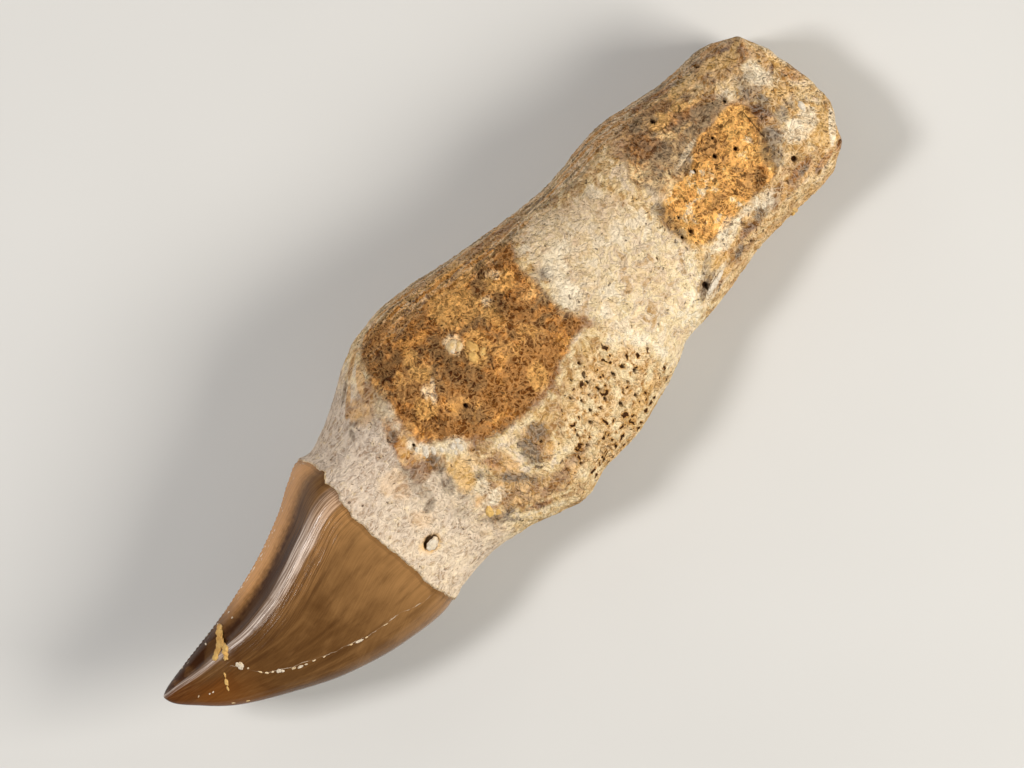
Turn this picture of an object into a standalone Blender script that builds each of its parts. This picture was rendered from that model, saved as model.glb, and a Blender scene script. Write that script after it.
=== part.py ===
"""A fossil mosasaur tooth lying on its side: a curved enamel crown on its long bone root.

The crown grew on the root, so the whole tooth is one solid. Its form is a loft. Rails give the rear
edge, the front edge, the height of the ridge between them and the depth below, each against the
distance from the crown's tip. The crust and lumps of old sediment are fused on, and the root's
larger pores and the nerve opening are cut in.

The frame: +X runs from the crown's tip to the root's broken end, +Y is the side of the concave rear
edge, +Z is up, and the origin is below the middle of the tooth, on the surface that it lies on.
Sizes in the constants are millimetres, and the mesh is in metres.
"""

import bmesh
import bpy
import numpy as np
from mathutils import Matrix, Vector

MM = 0.001
LENGTH = 120.0  # from the crown's tip to the root's broken end
MARGIN = 35.5  # where the enamel ends and the bone begins

# The rails: pairs of the distance from the tip and the value there.
REAR_EDGE = [
    (0, 2.35), (2, 3.2), (6, 3.7), (12, 4.45), (20, 6.1), (28, 8.9), (32, 11.0), (34.8, 12.1),
    (36.4, 11.75), (40.4, 12.9), (44.4, 14.9), (48.5, 16.9), (54.5, 18.4), (58.5, 18.7),
    (62.6, 18.2), (70.7, 16.4), (78.7, 15.3), (86.8, 15.0), (94.9, 15.4), (101, 14.8),
    (109, 13.6), (120, 12.4),
]  # fmt: skip
FRONT_EDGE = [
    (0, 2.35), (2, -1.1), (6, -5.1), (12, -8.9), (20, -12.9), (28, -15.2), (34.5, -16.0),
    (38.5, -15.4), (44.5, -15.1), (50.5, -15.9), (55.5, -17.7), (59.5, -18.9), (63, -18.2),
    (68, -17.8), (74.7, -16.3), (81, -14.6), (83.5, -13.5), (88, -13.1), (94.9, -12.0),
    (101, -11.3), (120, -11.4),
]  # fmt: skip
MIDDLE_HEIGHT = [(0, 17.4), (12, 16.5), (36, 14.5), (60, 13.0), (82, 11.7), (105, 10.4), (120, 10.0)]
HEIGHT_ABOVE = [
    (0, 0), (2, 1.6), (6, 3.0), (12, 4.6), (20, 6.6), (28, 8.4), (35, 9.6), (41, 9.9), (48, 11.6),
    (54, 13.0), (59, 13.5), (66, 12.9), (74, 11.5), (82, 10.6), (92, 10.2), (105, 9.8), (120, 9.6),
]  # fmt: skip
DEPTH_BELOW = [
    (0, 0), (2, 1.4), (6, 2.8), (12, 4.5), (20, 6.8), (28, 9.0), (35, 10.4), (41, 10.8),
    (48, 11.9), (59, 13.8), (70, 12.2), (82, 11.0), (92, 10.7), (105, 11.1), (112, 11.2), (120, 10.6),
]  # fmt: skip
UPPER_RIDGE = [
    (0, 2.35), (3, 0.5), (8, -1.2), (14, -1.65), (20, -0.8), (28, 1.6), (35, 4.6), (42, 3.2),
    (52, 1.0), (66, 0), (82, 0.6), (95, 1.6), (120, 1.0),
]  # fmt: skip
LOWER_RIDGE = [(0, 2.35), (14, -1.5), (35, 1.5), (52, 0.5), (95, 1.5), (120, 1.0)]

# How full each quarter of the section is: 1 is a straight facet, 2 an ellipse, more is squarer.
FULL_REAR_UP = [(0, 1.7), (12, 1.4), (33, 1.35), (38, 1.8), (48, 2.15), (120, 2.3)]
FULL_FRONT_UP = [(0, 1.9), (34, 2.0), (48, 2.1), (60, 2.2), (120, 2.4)]
FULL_REAR_DOWN = [(0, 1.7), (12, 1.45), (33, 1.4), (38, 1.8), (48, 2.1), (120, 2.3)]
FULL_FRONT_DOWN = [(0, 1.8), (34, 1.9), (48, 2.1), (120, 2.3)]

# The broken end: each face is distance = reach + lean_y * y + lean_z * (height above the middle).
END_FACES = [
    (119.9, -0.03, 0.0), (121.1, -0.345, 0.0), (139.0, -2.0, 0.0), (121.4, 0.447, 0.0),
    (133.2, 1.74, 0.0), (124.2, 0.0, -1.0), (124.0, 0.0, 0.9),
]  # fmt: skip
END_ROUNDING = 0.35  # how softly those faces meet
END_START = 92.0  # where the sections begin to lean towards the broken end

SIDES = 48  # points around each section
CROWN_RINGS = 22
ROOT_RINGS = 46
END_RINGS = (0.93, 0.82, 0.66, 0.46, 0.24)  # shrinking rings on the broken end

SEED = 11  # of the unevenness

# Relief: depths and heights over the smooth form.
TROUGH_DEPTH = 0.5  # the hollow along the crown between its ridge and its rear edge
LIP_HEIGHT = 0.3  # the bone's edge where it laps the enamel
SWELL_HEIGHT = 0.3  # the root's broad unevenness
SWELL_LENGTH = 15.0
BREAK_HEIGHT = 0.3  # the unevenness of the broken end
BREAK_LENGTH = 7.0
PATCH_EDGE = 1.0  # the width of the ledge round a patch
AROUND_RADIUS = 15.0  # turns an angle round the root into a distance, for the patches
# Patches that lie lower where the outer bone has come away: corners as (distance, angle), with 0
# degrees at the rear edge, 90 on top and 180 at the front edge.
RUST_PATCH = [
    (77.8, 40), (76.9, 58), (75.8, 78), (76.1, 98), (69.7, 106.5), (62, 109), (54.8, 103.6),
    (51.9, 94.5), (47.6, 78), (49.9, 50), (49.5, 16), (60.4, 21.7), (71.6, 29.7),
]  # fmt: skip
GOLD_PATCH = [
    (106.7, 64), (109.8, 70), (109.4, 109.6), (105.2, 134), (97.7, 139), (93.3, 114),
    (92.8, 89), (99.7, 86),
]  # fmt: skip
RUST_DEPTH = 0.45
GOLD_DEPTH = 0.45

# Lumps of sediment and bone: (distance, y, long and short half sizes, height, turn in degrees).
LUMPS = [
    (60.9, 8.1, 1.3, 1.0, 0.9, 20), (61.7, 5.7, 1.3, 0.9, 0.8, 80), (48.8, 0.9, 1.6, 0.7, 0.5, -35),
    (51.7, -1.4, 1.2, 1.0, 0.5, 0), (48.5, -10.8, 1.4, 0.9, 0.5, 30), (11.5, 3.1, 1.6, 0.6, 0.5, 62),
    (9.6, 1.3, 1.3, 0.5, 0.45, 60), (10.9, 1.1, 1.4, 0.45, 0.4, 80), (12.0, -4.4, 0.8, 0.5, 0.25, 30),
    (16.9, -7.6, 1.3, 0.45, 0.25, -25), (91.6, -10.2, 2.2, 0.6, 0.7, 20),
]  # fmt: skip
LUMP_SINK = 0.35  # the share of a lump's height that its centre lies above the surface

# The nerve opening in the collar, with the plug of bone left in it.
NERVE_PLACE = (40.0, -8.3)
NERVE_RADIUS = 1.15
NERVE_DEPTH = 1.6
PLUG_RADIUS = 0.6

# Pores and small hollows: (distance, y, radius). They are cut as blunt cones.
PORES = [
    (73.1, -9.5, 0.5), (75.5, -11.2, 0.5), (74.8, -9.7, 0.35), (70.9, -5.2, 0.4), (68.6, -6.1, 0.35),
    (69.9, -7.9, 0.45), (70.3, -9.6, 0.45), (68.8, -9.2, 0.35), (67.6, -9.1, 0.35),
    (70.0, -11.0, 0.45), (70.9, -12.9, 0.5), (67.5, -10.7, 0.35), (68.7, -11.5, 0.35),
    (66.4, -11.8, 0.45), (73.2, -13.6, 0.4), (73.7, -11.6, 0.4), (72.5, -11.9, 0.3),
    (77.4, -13.9, 0.35), (64.0, -12.0, 0.35), (63.9, -14.0, 0.45), (65.8, -16.3, 0.4),
    (61.8, -15.4, 0.45), (66.8, -7.7, 0.35), (60.0, -9.1, 0.35), (56.2, 1.5, 0.55),
    (47.6, 2.6, 0.4), (88.2, -2.8, 0.3), (90.3, -10.1, 0.8), (92.6, -3.3, 0.4), (94.0, -3.6, 0.5),
    (94.1, -1.0, 0.35), (93.4, -5.2, 0.35), (98.9, -10.5, 0.45), (100.0, 2.0, 0.4),
    (100.9, 11.0, 0.55), (103.3, 1.5, 0.5), (104.8, 3.5, 0.35), (106.0, 0.2, 0.5),
    (109.5, 6.0, 0.4), (110.4, 12.0, 0.45), (107.8, 12.7, 0.4), (110.6, -6.4, 0.7),
]  # fmt: skip
PORE_DEPTH = 0.9
PORE_CLEARANCE = 0.5  # how far a cutter stands above the surface
PORE_FLOOR = 0.6  # a pore's radius at its floor, as a share of its radius at the surface
PORE_SIDES = 6

BONE_COLOUR = (0.56, 0.44, 0.27, 1.0)
RUST_COLOUR = (0.36, 0.19, 0.06, 1.0)
ENAMEL_COLOUR = (0.28, 0.16, 0.07, 1.0)
BONE_ROUGHNESS, RUST_ROUGHNESS, ENAMEL_ROUGHNESS = 0.8, 0.85, 0.25


def rail(points, along):
    """Value at each distance: a monotone cubic through the points, in the distance's square root.

    The square root makes a rail leave the tip as a round nose does.
    """
    knots, values = np.array(points, float).T
    knots, where = np.sqrt(knots), np.sqrt(np.clip(along, 0, None))
    step = np.diff(knots)
    rise = np.diff(values) / step
    near, far = 2 * step[1:] + step[:-1], step[1:] + 2 * step[:-1]
    same_way = rise[1:] * rise[:-1] > 0
    before, after = np.where(same_way, rise[:-1], 1), np.where(same_way, rise[1:], 1)
    inner = np.where(same_way, (near + far) / (near / before + far / after), 0)
    slope = np.concatenate([rise[:1], inner, rise[-1:]])
    i = np.clip(np.searchsorted(knots, where, side="right") - 1, 0, len(step) - 1)
    t = (where - knots[i]) / step[i]
    return (
        values[i] * (1 + 2 * t) * (1 - t) ** 2
        + slope[i] * step[i] * t * (1 - t) ** 2
        + values[i + 1] * t**2 * (3 - 2 * t)
        + slope[i + 1] * step[i] * t**2 * (t - 1)
    )


def ease(low, high, value):
    """0 below low, 1 above high, and a smooth rise between."""
    t = np.clip((value - low) / (high - low), 0, 1)
    return t * t * (3 - 2 * t)


def section(along, around):
    """Points of the smooth form at distances along and angles around (radians, 0 at the rear edge).

    Each quarter is a superellipse in its polar form: with c and s the angle's cosine and sine and
    p the fullness, the reach is divided by (|c|^p + |s|^p)^(1/p).
    """
    c, s = np.cos(around), np.sin(around)
    up, back = s >= 0, c >= 0
    ridge = np.where(up, rail(UPPER_RIDGE, along), rail(LOWER_RIDGE, along))
    reach = np.where(back, rail(REAR_EDGE, along) - ridge, ridge - rail(FRONT_EDGE, along))
    rise = np.where(up, rail(HEIGHT_ABOVE, along), rail(DEPTH_BELOW, along))
    full_up = np.where(back, rail(FULL_REAR_UP, along), rail(FULL_FRONT_UP, along))
    full_down = np.where(back, rail(FULL_REAR_DOWN, along), rail(FULL_FRONT_DOWN, along))
    full = np.where(up, full_up, full_down)
    size = (np.abs(c) ** full + np.abs(s) ** full) ** (1 / full)
    y = ridge + reach * c / size
    z = rail(MIDDLE_HEIGHT, along) + rise * s / size
    return np.stack([along + 0 * y, y, z], axis=-1)


def plan_angle(points):
    """Angle round the tooth as seen from above, in degrees: 0 rear edge, 90 middle, 180 front."""
    rear, front = rail(REAR_EDGE, points[..., 0]), rail(FRONT_EDGE, points[..., 0])
    across = (2 * points[..., 1] - rear - front) / np.maximum(rear - front, 1e-6)
    return np.degrees(np.arccos(np.clip(across, -1, 1)))


def waves(points, length, seed, count=20):
    """Smooth unevenness between about -1 and 1: a sum of plane waves in seeded directions."""
    draw = np.random.default_rng(seed)
    ways = draw.normal(size=(count, 3))
    ways /= np.linalg.norm(ways, axis=1, keepdims=True)
    lengths = length * draw.uniform(0.7, 1.6, count)
    shifts = draw.uniform(0, 2 * np.pi, count)
    return np.sin(points @ (ways.T * 2 * np.pi / lengths) + shifts).sum(axis=-1) / np.sqrt(count)


def end_distance(points):
    """Distance of the broken end beyond each point's y and height: its faces' rounded minimum."""
    lift = points[..., 2] - rail(MIDDLE_HEIGHT, np.full(points.shape[:-1], LENGTH))
    faces = [far + by_y * points[..., 1] + by_z * lift for far, by_y, by_z in END_FACES]
    soft = -np.log(sum(np.exp(-f / END_ROUNDING) for f in faces)) * END_ROUNDING
    return soft + BREAK_HEIGHT * waves(points * [0, 1, 1], BREAK_LENGTH, SEED)


def polygon_distance(along, angle, corners):
    """Distance in mm to a patch's outline, positive inside it."""
    place = np.stack([along, np.radians(angle) * AROUND_RADIUS], axis=-1)
    corners = np.array(corners, float) * [1, np.pi / 180 * AROUND_RADIUS]
    nearest, inside = np.full(along.shape, np.inf), np.zeros(along.shape, bool)
    for a, b in zip(corners, np.roll(corners, -1, axis=0)):
        side, off = b - a, place - a
        share = np.clip((off @ side) / (side @ side), 0, 1)
        nearest = np.minimum(nearest, np.linalg.norm(off - share[..., None] * side, axis=-1))
        crosses = (a[1] > place[..., 1]) != (b[1] > place[..., 1])
        level = side[1] if abs(side[1]) > 1e-9 else 1e-9
        inside ^= crosses & (place[..., 0] < a[0] + (place[..., 1] - a[1]) * side[0] / level)
    return np.where(inside, nearest, -nearest)


def relief(points, up):
    """Height in mm that the surface stands over the smooth form, up being where it faces upwards."""
    along, angle = points[..., 0], plan_angle(points)
    trough = ease(3, 9, along) * (1 - ease(27, 34, along)) * up
    trough = trough * np.exp(-(((angle - 42) / 16) ** 2))
    on_root = ease(MARGIN - 0.3, MARGIN + 0.3, along)
    lip = on_root * (1 - ease(MARGIN + 0.8, MARGIN + 3, along))
    swell = waves(points, SWELL_LENGTH, SEED + 1) * ease(MARGIN, MARGIN + 12, along)
    rust = ease(-PATCH_EDGE / 2, PATCH_EDGE / 2, polygon_distance(along, angle, RUST_PATCH)) * up
    gold = ease(-PATCH_EDGE / 2, PATCH_EDGE / 2, polygon_distance(along, angle, GOLD_PATCH)) * up
    return (
        SWELL_HEIGHT * swell
        + LIP_HEIGHT * lip
        - TROUGH_DEPTH * trough
        - RUST_DEPTH * rust
        - GOLD_DEPTH * gold
    )


def outward(points):
    """Unit normals of a grid of points, rings first: the cross product of its two directions."""
    ahead = np.gradient(points, axis=0)
    beside = np.roll(points, -1, axis=1) - np.roll(points, 1, axis=1)
    normal = np.cross(beside, ahead)
    return normal / np.maximum(np.linalg.norm(normal, axis=-1, keepdims=True), 1e-9)


def side_rings():
    """The rings from the tip to the broken end, as a grid of points."""
    crown = MARGIN * np.linspace(0, 1, CROWN_RINGS + 1)[1:] ** 1.6
    lip = MARGIN + np.array([0.7, 1.8])
    root = np.linspace(MARGIN + 3.2, LENGTH, ROOT_RINGS)
    along = np.concatenate([crown, lip, root])[:, None]
    around = np.linspace(0, 2 * np.pi, SIDES, endpoint=False)[None, :]
    end = np.full(around.shape, LENGTH)
    for _ in range(3):
        end = end_distance(section(end, around))
    leant = along + (end - LENGTH) * ease(END_START, LENGTH, along)
    return section(leant, around), along, around


def tooth_points():
    """Every ring of the tooth, the tip and the middle of the broken end."""
    rings, along, around = side_rings()
    up = ease(-0.05, 0.15, np.sin(around)) + 0 * along
    still = 1 - ease(LENGTH - 4, LENGTH, along)  # the last ring keeps its place on the end
    rings = rings + outward(rings) * (relief(rings, up) * still)[..., None]
    last = rings[-1]
    middle = last.mean(axis=0)
    ends = [middle + share * (last - middle) for share in END_RINGS]
    for ring in ends:
        ring[:, 0] = end_distance(ring)
    middle[0] = end_distance(middle)
    tip = section(np.zeros(1), np.zeros(1))[0]
    return np.concatenate([rings, np.array(ends)]), tip, middle


def surface_point(along, y):
    """A point of the upper surface below (distance, y), and the normal there."""
    around = np.linspace(0.02, np.pi - 0.02, 181)
    near = along + np.array([-0.5, 0.0, 0.5])
    grid = section(near[:, None], around[None, :])
    grid = grid + outward(grid) * relief(grid, np.ones(grid.shape[:-1]))[..., None]
    i = int(np.argmin(np.abs(grid[1, :, 1] - y)))
    normal = np.cross(grid[1, i - 1] - grid[1, i + 1], grid[2, i] - grid[0, i])
    normal = -normal if normal[2] < 0 else normal
    return Vector(grid[1, i]), Vector(normal).normalized()


def to_frame(point):
    """From distance, y and height in millimetres to the part's own frame in metres."""
    return Vector(((point[0] - LENGTH / 2) * MM, point[1] * MM, point[2] * MM))


def clear_scene():
    for thing in list(bpy.data.objects):
        bpy.data.objects.remove(thing, do_unlink=True)


def material(name, colour, roughness):
    made = bpy.data.materials.new(name)
    made.use_nodes = True
    shader = made.node_tree.nodes["Principled BSDF"]
    shader.inputs["Base Color"].default_value = colour
    shader.inputs["Roughness"].default_value = roughness
    shader.inputs["Metallic"].default_value = 0.0
    return made


def add_object(shape, name, collection):
    """Turn a bmesh into a named object with smooth shading."""
    mesh = bpy.data.meshes.new(name)
    shape.to_mesh(mesh)
    shape.free()
    mesh.shade_smooth()
    thing = bpy.data.objects.new(name, mesh)
    collection.objects.link(thing)
    return thing


def wear_flat(shape):
    """Cut the underside off at the surface that the tooth lies on, and close the cuts."""
    everything = [*shape.verts, *shape.edges, *shape.faces]
    cut = bmesh.ops.bisect_plane(
        shape, geom=everything, dist=1e-7, plane_co=(0, 0, 0), plane_no=(0, 0, -1), clear_outer=True
    )
    rims = [part for part in cut["geom_cut"] if isinstance(part, bmesh.types.BMEdge)]
    bmesh.ops.edgenet_fill(shape, edges=rims)
    shape.normal_update()


def lofted_tooth(collection):
    """The tooth before its lumps and pores: quads between rings, closed at the tip and the end."""
    rings, tip, middle = tooth_points()
    shape = bmesh.new()
    grid = [[shape.verts.new(to_frame(p)) for p in ring] for ring in rings]
    tip, middle = shape.verts.new(to_frame(tip)), shape.verts.new(to_frame(middle))
    for k, (ring, following) in enumerate(zip(grid, grid[1:])):
        for i in range(SIDES):
            j = (i + 1) % SIDES
            face = shape.faces.new((ring[j], ring[i], following[i], following[j]))
            centre = face.calc_center_median() / MM
            away = np.array([centre.x + LENGTH / 2, centre.y, centre.z])
            rusty = polygon_distance(away[0], plan_angle(away), RUST_PATCH) > 0
            on_patch = rusty and i < SIDES // 2
            face.material_index = 1 if k < CROWN_RINGS - 1 else 2 * int(on_patch)
    for i in range(SIDES):
        j = (i + 1) % SIDES
        shape.faces.new((tip, grid[0][i], grid[0][j])).material_index = 1
        shape.faces.new((grid[-1][j], grid[-1][i], middle))
    wear_flat(shape)
    tooth = add_object(shape, "tooth", collection)
    tooth.data.materials.append(material("bone", BONE_COLOUR, BONE_ROUGHNESS))
    tooth.data.materials.append(material("enamel", ENAMEL_COLOUR, ENAMEL_ROUGHNESS))
    tooth.data.materials.append(material("rust_stained_bone", RUST_COLOUR, RUST_ROUGHNESS))
    return tooth


def placed(along, y, turn=0.0):
    """A matrix that stands on the upper surface at (distance, y), its Z along the normal."""
    point, normal = surface_point(along, y)
    stand = normal.to_track_quat("Z", "Y").to_matrix().to_4x4()
    return Matrix.Translation(to_frame(point)) @ stand @ Matrix.Rotation(np.radians(turn), 4, "Z")


def sediment_lumps(collection):
    """The lumps as flattened balls, and the plug that stands in the nerve opening."""
    shape = bmesh.new()
    for along, y, long_half, short_half, height, turn in LUMPS:
        lift = Matrix.Translation((0, 0, height * LUMP_SINK * MM))
        size = Matrix.Diagonal((long_half * MM, short_half * MM, height * MM, 1))
        matrix = placed(along, y, turn) @ lift @ size
        bmesh.ops.create_icosphere(shape, subdivisions=2, radius=1, matrix=matrix)
    return add_object(shape, "sediment_lumps", collection)


def nerve_plug(collection):
    """The rounded peg of bone that fills the middle of the nerve opening."""
    shape = bmesh.new()
    matrix = placed(*NERVE_PLACE) @ Matrix.Translation((0, 0, -NERVE_DEPTH * 0.6 * MM))
    size = Matrix.Diagonal((PLUG_RADIUS * MM, PLUG_RADIUS * 1.5 * MM, NERVE_DEPTH * 0.75 * MM, 1))
    bmesh.ops.create_icosphere(shape, subdivisions=2, radius=1, matrix=matrix @ size)
    return add_object(shape, "nerve_plug", collection)


def add_hole(shape, matrix, radius, depth, sides):
    """A tapered cutter from the depth below the surface to the clearance above it."""
    narrowing = radius * (1 - PORE_FLOOR) / depth
    middle = Matrix.Translation((0, 0, (PORE_CLEARANCE - depth) / 2 * MM))
    bmesh.ops.create_cone(
        shape,
        cap_ends=True,
        segments=sides,
        radius1=radius * PORE_FLOOR * MM,
        radius2=(radius + narrowing * PORE_CLEARANCE) * MM,
        depth=(PORE_CLEARANCE + depth) * MM,
        matrix=matrix @ middle,
    )


def pore_cutters(collection):
    """The cutters of the pores and of the nerve opening, in one object."""
    shape = bmesh.new()
    for along, y, radius in PORES:
        add_hole(shape, placed(along, y), radius, PORE_DEPTH, PORE_SIDES)
    add_hole(shape, placed(*NERVE_PLACE), NERVE_RADIUS, NERVE_DEPTH, 2 * PORE_SIDES)
    return add_object(shape, "pore_cutters", collection)


def combine(thing, operation, other):
    step = thing.modifiers.new(other.name, "BOOLEAN")
    step.operation = operation
    step.solver = "EXACT"
    step.object = other
    other.hide_render = True
    other.display_type = "WIRE"


def new_collection(name):
    collection = bpy.data.collections.new(name)
    bpy.context.scene.collection.children.link(collection)
    return collection


def main():
    clear_scene()
    parts = new_collection("mosasaur_tooth")
    cutters = new_collection("cutters")
    tooth = lofted_tooth(parts)
    combine(tooth, "UNION", sediment_lumps(cutters))
    combine(tooth, "DIFFERENCE", pore_cutters(cutters))
    combine(tooth, "UNION", nerve_plug(cutters))


if __name__ == "__main__":
    main()
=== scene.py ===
"""Looks of a fossil mosasaur tooth: glossy enamel crown, fibrous bone root, crusts of old sediment.

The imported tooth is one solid. Here a crown and a root of finer mesh stand for it, worked out from
rails along its length, and the crusts, chips, lumps and plug that sit on them are pieces of their
own. Shapes are computed in millimetres, as the distance from the crown's tip, y and height, and put
in the mesh in the frame's metres.
"""

import itertools
import math

import bpy
import numpy as np
from bpy.props import FloatProperty, FloatVectorProperty, IntProperty, PointerProperty
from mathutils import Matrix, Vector


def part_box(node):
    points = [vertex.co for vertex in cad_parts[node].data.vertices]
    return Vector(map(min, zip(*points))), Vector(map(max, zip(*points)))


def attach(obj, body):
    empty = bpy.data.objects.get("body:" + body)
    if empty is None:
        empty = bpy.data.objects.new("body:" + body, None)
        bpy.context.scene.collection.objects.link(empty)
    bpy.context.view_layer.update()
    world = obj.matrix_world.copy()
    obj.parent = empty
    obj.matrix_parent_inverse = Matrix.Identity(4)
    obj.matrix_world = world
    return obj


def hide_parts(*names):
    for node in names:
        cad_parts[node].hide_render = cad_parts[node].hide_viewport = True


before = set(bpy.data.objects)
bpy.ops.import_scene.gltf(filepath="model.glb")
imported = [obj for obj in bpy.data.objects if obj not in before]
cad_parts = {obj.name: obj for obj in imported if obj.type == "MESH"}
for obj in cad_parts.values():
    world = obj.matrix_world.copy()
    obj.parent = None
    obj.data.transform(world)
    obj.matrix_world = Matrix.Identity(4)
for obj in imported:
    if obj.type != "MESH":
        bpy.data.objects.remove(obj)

bl_info = {
    "name": "Mosasaur Tooth",
    "version": (1, 0, 0),
    "blender": (4, 5, 0),
    "location": "3D View > Sidebar > Tooth",
    "description": "Builds a fossil mosasaur tooth, its finishes and a small studio",
    "category": "Add Mesh",
}

MM = 0.001
NODE = "tooth"
BODY = "root"
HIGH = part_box(NODE)[1]
LENGTH = 120.0  # nominal, from the crown's tip to the root's broken end
MARGIN = 35.5  # where the enamel ends and the bone begins
SEED = 11

# fmt: off
# The rails: pairs of the distance from the tip and the value there.
REAR_EDGE = [
    (0, 2.35), (2, 3.2), (6, 3.7), (12, 4.45), (20, 6.1), (28, 8.9), (32, 11), (34.8, 12.1),
    (36.4, 11.75), (40.4, 12.9), (44.4, 14.9), (48.5, 16.9), (54.5, 18.4), (58.5, 18.7), (62.6, 18.2),
    (70.7, 16.4), (78.7, 15.3), (86.8, 15), (94.9, 15.4), (101, 14.8), (109, 13.6), (120, 12.4),
]
FRONT_EDGE = [
    (0, 2.35), (2, -1.1), (6, -5.1), (12, -8.9), (20, -12.9), (28, -15.2), (34.5, -16), (38.5, -15.4),
    (44.5, -15.1), (50.5, -15.9), (55.5, -17.7), (59.5, -18.9), (63, -18.2), (68, -17.8), (74.7, -16.3),
    (81, -14.6), (83.5, -13.5), (88, -13.1), (94.9, -12), (101, -11.3), (120, -11.4),
]
MIDDLE_HEIGHT = [(0, 17.4), (12, 16.5), (36, 14.5), (60, 13), (82, 11.7), (105, 10.4), (120, 10)]
HEIGHT_ABOVE = [
    (0, 0), (2, 1.6), (6, 3), (12, 4.6), (20, 6.6), (28, 8.4), (35, 9.6), (41, 9.9), (48, 11.6),
    (54, 13), (59, 13.5), (66, 12.9), (74, 11.5), (82, 10.6), (92, 10.2), (105, 9.8), (120, 9.6),
]
DEPTH_BELOW = [
    (0, 0), (2, 1.4), (6, 2.8), (12, 4.5), (20, 6.8), (28, 9), (35, 10.4), (41, 10.8), (48, 11.9),
    (59, 13.8), (70, 12.2), (82, 11), (92, 10.7), (105, 11.1), (112, 11.2), (120, 10.6),
]
UPPER_RIDGE = [
    (0, 2.35), (2, 1.95), (6, 1.25), (10.5, 0.8), (14.5, 0.45), (19, 0.85), (23, 1.8), (28, 3.4),
    (34, 5), (42, 3.2), (52, 1), (66, 0), (82, 0.6), (95, 1.6), (120, 1),
]
LOWER_RIDGE = [(0, 2.35), (14, -1.5), (35, 1.5), (52, 0.5), (95, 1.5), (120, 1)]

# How full each quarter of the section is: 1 is a straight facet, 2 an ellipse, more is squarer.
FULL_REAR_UP = [(0, 1.7), (12, 1.4), (33, 1.35), (38, 1.8), (48, 2.15), (120, 2.3)]
FULL_FRONT_UP = [(0, 1.9), (34, 2), (48, 2.1), (60, 2.2), (120, 2.4)]
FULL_REAR_DOWN = [(0, 1.7), (12, 1.45), (33, 1.4), (38, 1.8), (48, 2.1), (120, 2.3)]
FULL_FRONT_DOWN = [(0, 1.8), (34, 1.9), (48, 2.1), (120, 2.3)]

# The broken end: each face is distance = reach + lean_y * y + lean_z * (height above the middle).
END_FACES = [
    (119.9, -0.03, 0), (121.1, -0.345, 0), (139, -2, 0), (121.4, 0.447, 0), (133.2, 1.74, 0),
    (124.2, 0, -1), (124, 0, 0.9),
]
END_ROUNDING = 0.35  # how softly the faces meet
END_START = 92.0  # where the rings start to lean towards the broken end
END_SETBACK = 0.15  # keeps the rough end inside the solid's length
END_STILL = 2.5  # the last stretch, where the relief fades out
EDGE_TUCK = 0.75  # how far the root's first rings turn in at the enamel
LAP = (0.003, 0.3)  # how far the last two rings of each length of the root pass under the other

SWELL_HEIGHT = 0.3  # the root's broad unevenness
SWELL_LENGTH = 15.0
BREAK_HEIGHT = 0.3  # the unevenness of the broken end
BREAK_LENGTH = 7.0
BREAK_GRAIN = 0.22  # its roughness
BREAK_CELL = 2.6
TROUGH_DEPTH = 0.5  # the hollow along the crown between its ridge and its rear edge
LIP_HEIGHT = 0.3  # the bone's edge where it laps the enamel
AROUND_RADIUS = 15.0  # turns an angle round the root into a distance

# Patches on the root, as corners of (distance, angle): 0 degrees at the rear edge, 90 on top, 180
# at the front edge and 270 underneath.
RUST_PATCH = [
    (76.1, 35), (74.2, 53), (74.4, 67), (74, 81), (75.2, 96), (71.5, 98), (69, 100), (65.7, 103),
    (63.6, 104), (61.1, 105), (58.2, 103), (55.7, 102), (53.2, 98), (51, 92), (48.9, 85), (48.3, 75),
    (49.1, 66), (49.5, 54), (49.7, 44), (50.8, 32), (52.1, 18), (53.6, 14), (56.6, 19), (60.5, 20),
    (64.9, 22), (69.4, 25), (73.2, 23),
]
RUST_UNDER = [
    (50, 222), (58, 205), (68, 214), (74, 236), (71, 262), (75, 290), (66, 322), (55, 330), (49, 300),
    (53, 262),
]
GOLD_PATCH = [
    (109.9, 73), (111.1, 81), (110.3, 97), (109.3, 108), (108.2, 122), (106.1, 127), (103.7, 125),
    (101.2, 126), (98.3, 127), (95.8, 126), (93.9, 122), (92.5, 109), (92.2, 97), (93.5, 89), (96, 88),
    (97.8, 89), (100.3, 84), (103, 76), (106.4, 74),
]
GOLD_UNDER = [(88, 205), (99, 214), (107, 232), (104, 262), (94, 275), (86, 250)]
GREY_PATCH = [
    (97, 42), (101.2, 28), (104.9, 35), (107, 52), (109.5, 67), (106.4, 74), (103, 76), (100.3, 84),
    (97.8, 89), (96, 88), (94.5, 83), (93.1, 69), (94.3, 56),
]
GREY_UNDER = [(96, 285), (110, 290), (113, 325), (100, 338), (90, 318)]
CREAM_PATCH = [
    (76.8, 30), (89, 50), (90.9, 83.5), (92.3, 118), (89.9, 146), (84.7, 178), (79.9, 172), (76.6, 118),
    (75.7, 99), (76, 60),
]
CREAM_UNDER = [(74, 200), (84, 196), (86, 240), (90, 280), (86, 326), (76, 330), (73, 290), (76, 250)]
POROUS_PATCH = [
    (69.5, 112), (74.7, 109), (79, 136), (79, 166), (71.4, 172), (62, 168), (60, 140), (64.7, 116),
]
PATCHES = {
    "rust": (RUST_PATCH, RUST_UNDER),
    "gold": (GOLD_PATCH, GOLD_UNDER),
    "grey": (GREY_PATCH, GREY_UNDER),
    "cream": (CREAM_PATCH, CREAM_UNDER),
    "porous": (POROUS_PATCH,),
}
RUST_DEPTH = 0.35
GOLD_DEPTH = 0.4
FINE_HEIGHT = 0.15  # the fibres' and clumps' height before coarse and smooth stretches change it

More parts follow.
